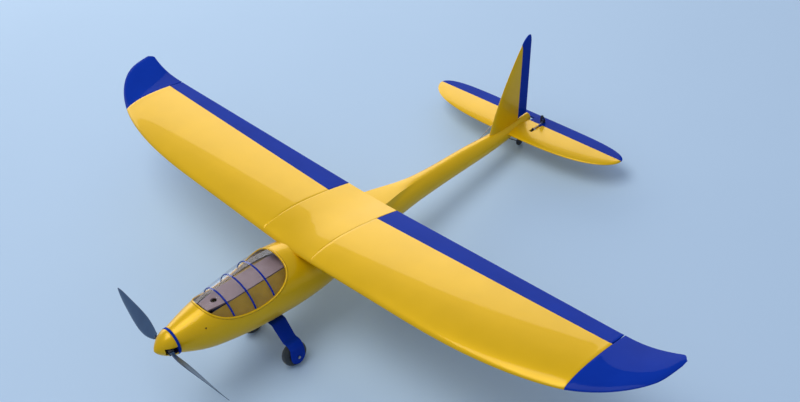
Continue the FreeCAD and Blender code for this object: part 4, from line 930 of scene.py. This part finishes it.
def fillet_path(corners, steps=8):
    """(x, z) corners with radii, as a smooth path of points."""
    path = [corners[0][:2]]
    for before, corner, after in zip(corners, corners[1:], corners[2:]):
        middle = Vector(corner[:2])
        to_before = Vector(before[:2]) - middle
        to_after = Vector(after[:2]) - middle
        turn = to_before.angle(to_after)
        reach = min(corner[2] / math.tan(turn / 2), 0.49 * to_before.length, 0.49 * to_after.length)
        first = middle + to_before.normalized() * reach
        last = middle + to_after.normalized() * reach
        for i in range(steps + 1):
            part = i / steps
            point = first * (1 - part) ** 2 + middle * (2 * part * (1 - part)) + last * part ** 2
            path.append((point.x, point.y))
    path.append(corners[-1][:2])
    return path


def strip_ring(centre, normal, width, thick):
    """Rounded rectangle across the gear strip: width along Y, thickness along the normal."""
    ring = []
    for corner_y, corner_n, start in ((1, 1, 0), (-1, 1, 90), (-1, -1, 180), (1, -1, 270)):
        radius = min(GEAR_EDGE, 0.45 * width)
        for i in range(4):
            turn = math.radians(start + 30 * i)
            y = corner_y * (width / 2 - radius) + radius * math.cos(turn)
            out = corner_n * (thick / 2 - radius) + radius * math.sin(turn)
            ring.append((centre[0] + normal[0] * out, WHEEL_Y + y, centre[1] + normal[1] * out))
    return ring


def gear_shape():
    """The sprung strip from one paddle, up over the wheel, across the belly and down again."""
    corners = [(-PADDLE_X, WHEEL_Z - PADDLE_RAD, 0.0), (-PADDLE_X, -160.5, 6.0), (-71.5, -153.0, 6.0)]
    corners += [(-57.5, -152.5, 7.0), (-32.5, BELLY_Z, 9.0)]
    corners += [(-x, z, radius) for x, z, radius in corners[::-1]]
    path = fillet_path(corners)
    fine = []
    for (x0, z0), (x1, z1) in zip(path, path[1:]):
        count = max(1, int(math.hypot(x1 - x0, z1 - z0) / 1.5))
        fine += [(x0 + (x1 - x0) * i / count, z0 + (z1 - z0) * i / count) for i in range(count)]
    fine.append(path[-1])
    rows = []
    for i, (x, z) in enumerate(fine):
        before = fine[max(i - 1, 0)]
        after = fine[min(i + 1, len(fine) - 1)]
        along = Vector((after[0] - before[0], after[1] - before[1])).normalized()
        width = GEAR_WIDE - 2.0 * ease(-z, -BELLY_Z + 2.0, 151.0)
        if z < -156.0:
            flare = ease(-z, 157.0, -WHEEL_Z - 7.0)
            width += (2 * PADDLE_RAD - width) * flare
        if z < WHEEL_Z:
            width = 2 * math.sqrt(max(PADDLE_RAD ** 2 - (z - WHEEL_Z) ** 2, 0.3))
        rows.append(strip_ring((x, z), (-along.y, along.x), width, GEAR_THICK))
    return solid(rows)


def tyre_shape(side):
    """A foam tyre with a low crown, rounded shoulders and a lip against the rim."""
    profile = [(13.06, -5.4), (13.9, -6.6), (15.2, -7.1), (16.4, -7.3), (19.0, -7.95), (21.0, -7.95)]
    profile += [(22.9, -7.4), (24.2, -6.0), (25.0, -4.1), (25.3, -2.1), (25.4, 0.0)]
    profile += [(radius, -along) for radius, along in profile[-2::-1]]
    return lathe(profile, 96, (side * WHEEL_X, WHEEL_Y, WHEEL_Z), "X")


# ------------------------------------------------------------------ materials
def shader_node(tree, kind, *inputs, **settings):
    """One shader node; inputs are (socket, value or output to link) pairs."""
    made = tree.nodes.new("ShaderNode" + kind)
    for key, value in settings.items():
        setattr(made, key, value)
    for key, value in inputs:
        if isinstance(value, bpy.types.NodeSocket):
            tree.links.new(value, made.inputs[key])
        else:
            made.inputs[key].default_value = value
    return made


def rgba(colour):
    return (colour[0], colour[1], colour[2], 1.0)


def noise(tree, place, scale, detail=3.0, rough=0.55):
    """A noise pattern, scale in waves per metre."""
    inputs = (("Vector", place), ("Scale", scale), ("Detail", detail), ("Roughness", rough))
    return shader_node(tree, "TexNoise", *inputs).outputs["Fac"]


def remap(tree, value, low, high):
    """A noise pattern spread over low to high."""
    spread_from = (("From Min", 0.3), ("From Max", 0.7))
    inputs = (("Value", value), *spread_from, ("To Min", low), ("To Max", high))
    return shader_node(tree, "MapRange", *inputs).outputs["Result"]


def mix(tree, factor, first, second):
    """Two colours, or a colour and a pattern's output, mixed by factor."""
    inputs = (("Fac", factor), ("Color1", first), ("Color2", second))
    return shader_node(tree, "MixRGB", *inputs).outputs["Color"]


def new_tree(name):
    """A material with an empty tree: (material, tree, object coordinates, output)."""
    material = bpy.data.materials.new(name)
    material.use_nodes = True
    tree = material.node_tree
    tree.nodes.clear()
    place = shader_node(tree, "TexCoord").outputs["Object"]
    return material, tree, place, shader_node(tree, "OutputMaterial")


def relief(tree, height, strength, distance):
    """Normals bent by a height pattern, distance in metres."""
    inputs = (("Height", height), ("Strength", strength), ("Distance", distance))
    return shader_node(tree, "Bump", *inputs).outputs["Normal"]


def principled(tree, output, base, rough, normal, *more):
    """The general surface shader, joined to the material's output."""
    inputs = (("Base Color", base), ("Roughness", rough), ("Normal", normal)) + more
    surface = shader_node(tree, "BsdfPrincipled", *inputs)
    tree.links.new(surface.outputs["BSDF"], output.inputs["Surface"])
    return surface


def coated(name, colour, tint, patches, rough, grain, depth, coat=0.0, metal=0.0, sheen=0.0, level=0.5):
    """A surface with drifting colour, uneven gloss and a fine relief.

    patches is the scale of the colour drift, rough the (low, high) roughness, grain and depth the
    scale (per metre) and height (metres) of the relief.
    """
    material, tree, place, output = new_tree(name)
    drift = remap(tree, noise(tree, place, patches), 0.0, 1.0)
    base = mix(tree, drift, rgba(colour), rgba(tint))
    gloss = remap(tree, noise(tree, place, patches * 3.0, 6.0, 0.65), rough[0], rough[1])
    normal = relief(tree, noise(tree, place, grain, 2.0), 1.0, depth)
    surface = principled(
        tree, output, base, gloss, normal, ("Metallic", metal), ("Coat Weight", coat),
        ("Coat Roughness", 0.03), ("Sheen Weight", sheen), ("Specular IOR Level", level))
    if coat:
        ripple = relief(tree, noise(tree, place, 140.0, 1.0), 1.0, 0.00002)
        tree.links.new(ripple, surface.inputs["Coat Normal"])
    return material


def plywood_material():
    """Light ply: long grain across the sheet, with darker streaks."""
    material, tree, place, output = new_tree("plywood")
    stretch = shader_node(tree, "Mapping", ("Vector", place), ("Scale", (1.0, 14.0, 14.0)))
    grain = noise(tree, stretch.outputs["Vector"], 60.0, 6.0, 0.7)
    base = mix(tree, remap(tree, grain, 0.0, 1.0), rgba((0.62, 0.42, 0.22)), rgba((0.34, 0.20, 0.09)))
    principled(tree, output, base, remap(tree, grain, 0.55, 0.75), relief(tree, grain, 0.6, 0.0002))
    return material


def woven_material(name, colour, tint, pitch, rough, coat=0.0):
    """A plain weave of pitch metres: strap webbing, or carbon cloth under resin."""
    material, tree, place, output = new_tree(name)
    waves = []
    for direction in ("X", "Y"):
        wave = shader_node(
            tree, "TexWave", ("Vector", place), ("Scale", 0.16 / pitch), ("Distortion", 0.3),
            wave_type="BANDS", bands_direction=direction)
        waves.append(wave.outputs["Fac"])
    weave = shader_node(tree, "Math", (0, waves[0]), (1, waves[1]), operation="MULTIPLY").outputs["Value"]
    drift = noise(tree, place, 120.0, 4.0)
    threads = mix(tree, weave, rgba(tint), rgba(colour))
    base = mix(tree, remap(tree, drift, 0.0, 0.35), threads, rgba(tint))
    principled(tree, output, base, rough, relief(tree, weave, 0.8, pitch * 0.2), ("Coat Weight", coat))
    return material


def canopy_material():
    """Thin clear moulding: a faint smoke tint, with reflections that grow towards the edges."""
    material, tree, place, output = new_tree("clear_canopy")
    smear = noise(tree, place, 30.0, 4.0)
    tint = mix(tree, remap(tree, smear, 0.0, 1.0), rgba((0.97, 0.97, 0.985)), rgba((0.94, 0.95, 0.97)))
    clear = shader_node(tree, "BsdfTransparent", ("Color", tint))
    normal = relief(tree, noise(tree, place, 70.0, 1.0), 1.0, 0.00001)
    rough = remap(tree, smear, 0.02, 0.06)
    gloss = shader_node(tree, "BsdfGlossy", ("Color", (1.0, 1.0, 1.0, 1.0)), ("Roughness", rough),
                        ("Normal", normal))
    edge = shader_node(tree, "Fresnel", ("IOR", 1.35), ("Normal", normal))
    facing = shader_node(tree, "Math", (0, edge.outputs["Fac"]), (1, 0.1), operation="MULTIPLY")
    shell = shader_node(tree, "MixShader", ("Fac", facing.outputs["Value"]), (1, clear.outputs["BSDF"]),
                        (2, gloss.outputs["BSDF"]))
    tree.links.new(shell.outputs["Shader"], output.inputs["Surface"])
    return material


def brushed_material(name, colour, tint, rough):
    """Turned metal with fine rings."""
    material, tree, place, output = new_tree(name)
    stretch = shader_node(tree, "Mapping", ("Vector", place), ("Scale", (1.0, 40.0, 1.0)))
    lines = noise(tree, stretch.outputs["Vector"], 90.0, 4.0, 0.7)
    base = mix(tree, remap(tree, lines, 0.0, 1.0), rgba(colour), rgba(tint))
    gloss = remap(tree, lines, rough[0], rough[1])
    principled(tree, output, base, gloss, relief(tree, lines, 0.5, 0.00003), ("Metallic", 1.0))
    return material


GOLD = (0.80, 0.46, 0.002)
GOLD_DEEP = (0.75, 0.43, 0.002)
NAVY = (0.004, 0.034, 0.33)
NAVY_DEEP = (0.003, 0.028, 0.28)

# Colour, drift colour, patches, roughness, grain and depth, as coated() takes them.
COATED = {
    "yellow_gelcoat": (GOLD, GOLD_DEEP, 9.0, (0.30, 0.38), 900.0, 0.000004),
    "blue_gelcoat": (NAVY, NAVY_DEEP, 11.0, (0.26, 0.34), 900.0, 0.000004),
    # gelcoat_inside is the yellow gelcoat at about half its value, painted shade for the inside of the pod; its
    # rougher gloss and coarser relief are the inner surface's own.
    "gelcoat_inside": ((0.44, 0.25, 0.012), (0.34, 0.19, 0.010), 60.0, (0.45, 0.7), 420.0, 0.0001),
    "black_plastic": ((0.012, 0.012, 0.014), (0.02, 0.02, 0.023), 60.0, (0.35, 0.5), 1400.0, 0.00002),
    "slate_blade": ((0.035, 0.080, 0.155), (0.028, 0.062, 0.125), 40.0, (0.28, 0.4), 1100.0, 0.000008),
    "tyre_rubber": ((0.012, 0.017, 0.018), (0.022, 0.027, 0.027), 90.0, (0.62, 0.85), 2400.0, 0.00012),
    "hub_plastic": ((0.02, 0.023, 0.026), (0.035, 0.038, 0.042), 70.0, (0.3, 0.45), 1500.0, 0.00001),
    "black_wire": ((0.014, 0.016, 0.02), (0.03, 0.032, 0.038), 150.0, (0.3, 0.5), 2000.0, 0.00001),
    "tray_film": ((0.36, 0.245, 0.22), (0.29, 0.195, 0.18), 35.0, (0.4, 0.6), 1800.0, 0.00003),
    "battery_wrap": ((0.02, 0.04, 0.12), (0.03, 0.06, 0.16), 45.0, (0.2, 0.35), 500.0, 0.00004),
    "servo_case": ((0.03, 0.035, 0.06), (0.045, 0.05, 0.08), 80.0, (0.3, 0.42), 1600.0, 0.00001),
    "nylon_bolt": ((0.72, 0.71, 0.66), (0.64, 0.62, 0.57), 120.0, (0.4, 0.55), 1500.0, 0.00001),
}
GLOSS = {
    "yellow_gelcoat": {"coat": 0.3, "metal": 0.24, "level": 0.1},
    "blue_gelcoat": {"coat": 0.1, "level": 0.0},
    "slate_blade": {"coat": 0.25},
    "tyre_rubber": {"sheen": 0.25},
    "tray_film": {"sheen": 0.1},
    "battery_wrap": {"coat": 0.4},
}
STRAP = ((0.05, 0.05, 0.055), (0.012, 0.012, 0.014), 0.0009, 0.85)
CARBON = ((0.035, 0.035, 0.038), (0.008, 0.008, 0.009), 0.0016, 0.3, 0.6)
FINISH = {name: coated(name, *values, **GLOSS.get(name, {})) for name, values in COATED.items()}
FINISH["clear_canopy"] = canopy_material()
FINISH["plywood"] = plywood_material()
FINISH["aluminium"] = brushed_material("aluminium", (0.72, 0.73, 0.75), (0.5, 0.51, 0.53), (0.25, 0.4))
FINISH["steel_wire"] = brushed_material("steel_wire", (0.42, 0.42, 0.43), (0.28, 0.28, 0.29), (0.22, 0.38))
FINISH["strap_fabric"] = woven_material("strap_fabric", *STRAP)
FINISH["carbon_rod"] = woven_material("carbon_rod", *CARBON)
# The darker gelcoat copy, painted shade, used on the pod's inner wall and the cockpit walls.
SHADED_INSIDE = FINISH["gelcoat_inside"]


# ------------------------------------------------------------------ building
def build(name, shape, node, place=None):
    """A piece in its node's own finish."""
    return piece(name, shape, FINISH[SLOT_OF[node]], node, place)


SIDES = (("left", 1.0), ("right", -1.0))


def build_wing():
    """Wing centre, and on each side panel, aileron and tip."""
    inner = spread(-66.0, 66.0, 22)
    centre = wing_rows(edged(-CENTRE_HALF + SEAM, CENTRE_HALF - SEAM, inner), centre_ends)
    build("wing_centre_skin", centre, "wing_centre")
    outboard = spread(75.0, 605.0, 90)
    panel = wing_rows(edged(CENTRE_HALF + SEAM, PANEL_END - SEAM, outboard), panel_ends)
    aileron = wing_rows(edged(AILERON_FIRST, AILERON_LAST, outboard), aileron_ends)
    tip = wing_tip_shape()
    axis_y, axis_z, _ = wing_hinge(SERVO_X)
    arm_y = axis_y - 46.0
    well_low = (SERVO_X - 20.0, arm_y - 22.0, axis_z - 60.0)
    well = block(well_low, (SERVO_X + 12.0, arm_y + 12.0, axis_z + 6.7))
    for side, sign in SIDES:
        def turned(shape, sign=sign):
            return shape if sign > 0 else mirrored(shape)
        skin = build(side + "_wing_skin", turned(panel), side + "_wing_panel")
        carve(skin, turned(well))
        build(side + "_aileron_skin", turned(aileron), side + "_aileron")
        build(side + "_wing_tip_skin", turned(tip), side + "_wing_tip")


def build_hull():
    """Fuselage with its canopy opening, holes and the seat of the wing."""
    hull = build("fuselage", hull_shape(), "fuselage_shell")
    hole = rod((0.0, NOSE_Y - 3.0, THRUST_Z), (0.0, NOSE_Y + 8.0, THRUST_Z), 16.0, 48)
    vent = rod((30.0, -372.0, -36.0), (44.0, -372.0, -36.0), 1.6)
    exit_slot = block((-13.4, 341.0, -50.0), (-8.8, 396.0, -30.0))
    carve(hull, pod_hollow(), hole, opening_volume(), saddle_volume(), vent, exit_slot)
    # The pod's inner wall is painted in the darker gelcoat copy: painted shade.
    paint(hull, SHADED_INSIDE, inside_hull)
    for side_name, side in SIDES:
        piece(side_name + "_cockpit_wall", cockpit_wall_shape(side), SHADED_INSIDE, "fuselage_shell")
    build("canopy_rim", canopy_frame_shape(), "canopy_frame")
    build("canopy_bubble", canopy_glass_shape(), "canopy_glass")
    hoops = merge(*[hoop_shape(HOOP_Y + step) for step in (-HOOP_STEP, 0.0, HOOP_STEP)])
    build("canopy_hoop_bands", hoops, "canopy_hoops")


def inside_hull(point):
    """True for faces of the pod's inner wall."""
    if point.y > POD_END - 1.0 or point.y < NOSE_Y + 1.0:
        return False
    half, middle, tall = hull_oval(point.y)
    return (point.x / half) ** 2 + ((point.z - middle) / tall) ** 2 < (1.0 - 0.5 * SKIN / half) ** 2


def tail_rows(stations, ends, steps):
    """The tailplane or the elevator, as rings from the right tip to the left."""
    rows = []
    for x in stations:
        front, rear, limit, cove = ends(x)
        ring = section(front, max(rear, front + 0.05), lambda y, x=x: limit(x, y), steps, cove)
        rows.append([(x, y, z) for y, z in ring])
    return solid(rows)


def build_tail():
    """Tailplane, elevator, fin and rudder."""
    span = [-STAB_HALF * 0.9995 * math.cos(math.pi * i / 90) for i in range(91)]
    stab = build("tailplane_skin", tail_rows(span, stab_ends, 20), "tailplane")
    outer = SERVO_TAIL_X + 5.4
    hinge = STAB_HINGE_Y
    arm_slot = block((SERVO_TAIL_X - 2.2, hinge - 38.0, STAB_Z - 3.2), (outer, hinge + 1.0, STAB_Z + 9.0))
    well_low = (SERVO_TAIL_X - 12.4, hinge - 44.0, STAB_Z - 9.0)
    servo_well = block(well_low, (outer, hinge - 14.0, STAB_Z + 1.4))
    carve(stab, arm_slot, servo_well)
    elevator_span = sorted(span + [-NOTCH_HALF - 0.01, -NOTCH_HALF, NOTCH_HALF - 0.01, NOTCH_HALF])
    build("elevator_skin", tail_rows(elevator_span, elevator_ends, 18), "elevator")
    build("fin_skin", fin_shape(), "fin")
    build("rudder_skin", rudder_shape(), "rudder")


def build_power():
    """Spinner and blades, turned to the propeller's parked angle."""
    parked = Matrix.Translation(ROTOR_CENTRE) @ Matrix.Rotation(math.radians(PROP_TILT), 4, "Y")
    spinner = build("spinner_cone", spinner_shape(), "spinner", place=parked)
    notches = []
    for sign in (1, -1):
        points, faces = block((12.0, -8.0, -7.5), (38.5, 20.0, 7.5))
        notches.append(([parked @ Vector((sign * p[0], p[1], p[2])) for p in points], faces))
    carve(spinner, *notches)
    half_turn = Matrix.Rotation(math.pi, 4, "Y")
    shape = merge(blade_shape(), blade_root())
    build("left_blade_skin", shape, "left_blade", place=parked)
    build("right_blade_skin", shape, "right_blade", place=parked @ half_turn)


def build_gear():
    """Sprung strip and foam tyres."""
    build("main_gear_strip", gear_shape(), "main_gear_bow")
    for side, sign in SIDES:
        build(side + "_tyre_foam", tyre_shape(sign), side + "_tyre")


def finish_cad():
    """The CAD pieces that stay get their finish, and soft edges where they are moulded."""
    soft = {"blade_yoke": 0.5, "battery": 0.4, "equipment_tray": 0.35, "firewall": 0.3,
            "spinner_backplate": 0.4, "left_wheel_hub": 0.4, "right_wheel_hub": 0.4,
            "wheel_axles": 0.3, "elevator_horn": 0.25}
    for name, obj in frame["nodes"].items():
        if obj.hide_render:
            continue
        material = FINISH[SLOT_OF[name]]
        if not obj.material_slots:
            obj.data.materials.append(material)
        for slot in obj.material_slots:
            slot.material = material
        if name in soft:
            rounded(obj, soft[name])


build_wing()
build_hull()
build_tail()
build_power()
build_gear()
finish_cad()


# ------------------------------------------------------------------ floor, light and camera
def floor_material():
    """Pale blue matt paper, faintly uneven."""
    material, tree, place, output = new_tree("floor")
    drift = remap(tree, noise(tree, place, 1.6, 4.0), 0.0, 1.0)
    base = mix(tree, drift, rgba((0.495, 0.63, 0.755)), rgba((0.485, 0.62, 0.745)))
    fibre = relief(tree, noise(tree, place, 900.0, 3.0), 0.4, 0.0001)
    principled(tree, output, base, 0.9, fibre, ("Specular IOR Level", 0.1))
    return material


def build_floor():
    """A wide plain floor under the wheels."""
    half = 9.0
    mesh = bpy.data.meshes.new("floor")
    corners = [(-half, -half, 0), (half, -half, 0), (half, half, 0), (-half, half, 0)]
    mesh.from_pydata(corners, [], [(0, 1, 2, 3)])
    mesh.materials.append(floor_material())
    added("floor", mesh)


def build_world():
    """A soft, even sky: slightly bluer low down."""
    world = bpy.data.worlds.new("studio")
    bpy.context.scene.world = world
    world.use_nodes = True
    tree = world.node_tree
    tree.nodes.clear()
    place = shader_node(tree, "TexCoord").outputs["Generated"]
    split = shader_node(tree, "SeparateXYZ", ("Vector", place))
    height = shader_node(
        tree, "MapRange", ("Value", split.outputs["Z"]), ("From Min", 0.0), ("From Max", 0.7),
        interpolation_type="SMOOTHSTEP").outputs["Result"]
    colour = mix(tree, height, rgba((0.42, 0.52, 0.74)), rgba((0.47, 0.54, 0.70)))
    sky = shader_node(tree, "Background", ("Color", colour), ("Strength", SKY_STRENGTH))
    output = shader_node(tree, "OutputWorld")
    tree.links.new(sky.outputs["Background"], output.inputs["Surface"])


def area_light(name, azimuth, elevation, distance, width, height, power, colour):
    """A soft rectangular light aimed at the model; azimuth turns from +Y (tail) towards -X."""
    around = math.radians(azimuth)
    up = math.radians(elevation)
    way = Vector((-math.sin(around) * math.cos(up), math.cos(around) * math.cos(up), math.sin(up)))
    data = bpy.data.lights.new(name, "AREA")
    data.shape = "RECTANGLE"
    data.size = width
    data.size_y = height
    data.energy = power
    data.color = colour
    light = added(name, data)
    light.location = Vector((0.0, 0.0, 0.1)) + way * distance
    light.rotation_mode = "QUATERNION"
    light.rotation_quaternion = way.to_track_quat("Z", "Y")


def build_lights():
    """A broad low wall of light behind the right wing, and a soft box overhead."""
    area_light("wall", WALL_AZIMUTH, 17.0, 3.4, 5.5, 2.0, WALL_POWER, (1.0, 0.97, 0.93))
    area_light("overhead", 150.0, 78.0, 3.6, 2.6, 2.0, TOP_POWER, (0.98, 0.99, 1.0))


def build_camera():
    """The camera at the viewing angle, given in aircraft axes."""
    right = Vector((0.6831, 0.7254, -0.0849))
    up = Vector((-0.3873, 0.4584, 0.7999))
    back = Vector((0.6191, -0.5135, 0.5941))
    turn = Matrix((right, up, back)).transposed().to_4x4()
    data = bpy.data.cameras.new("camera")
    data.lens = 46.85
    data.sensor_width = 36.0
    data.clip_start = 0.05
    data.clip_end = 60.0
    camera = added("camera", data)
    location = PLACE @ Vector((1282.6, -947.1, 1169.8))
    spin = PLACE.to_3x3().normalized().to_4x4()
    camera.matrix_world = Matrix.Translation(location) @ spin @ turn
    bpy.context.scene.camera = camera


build_floor()
build_world()
build_lights()
build_camera()
bpy.context.scene.view_settings.view_transform = "Standard"
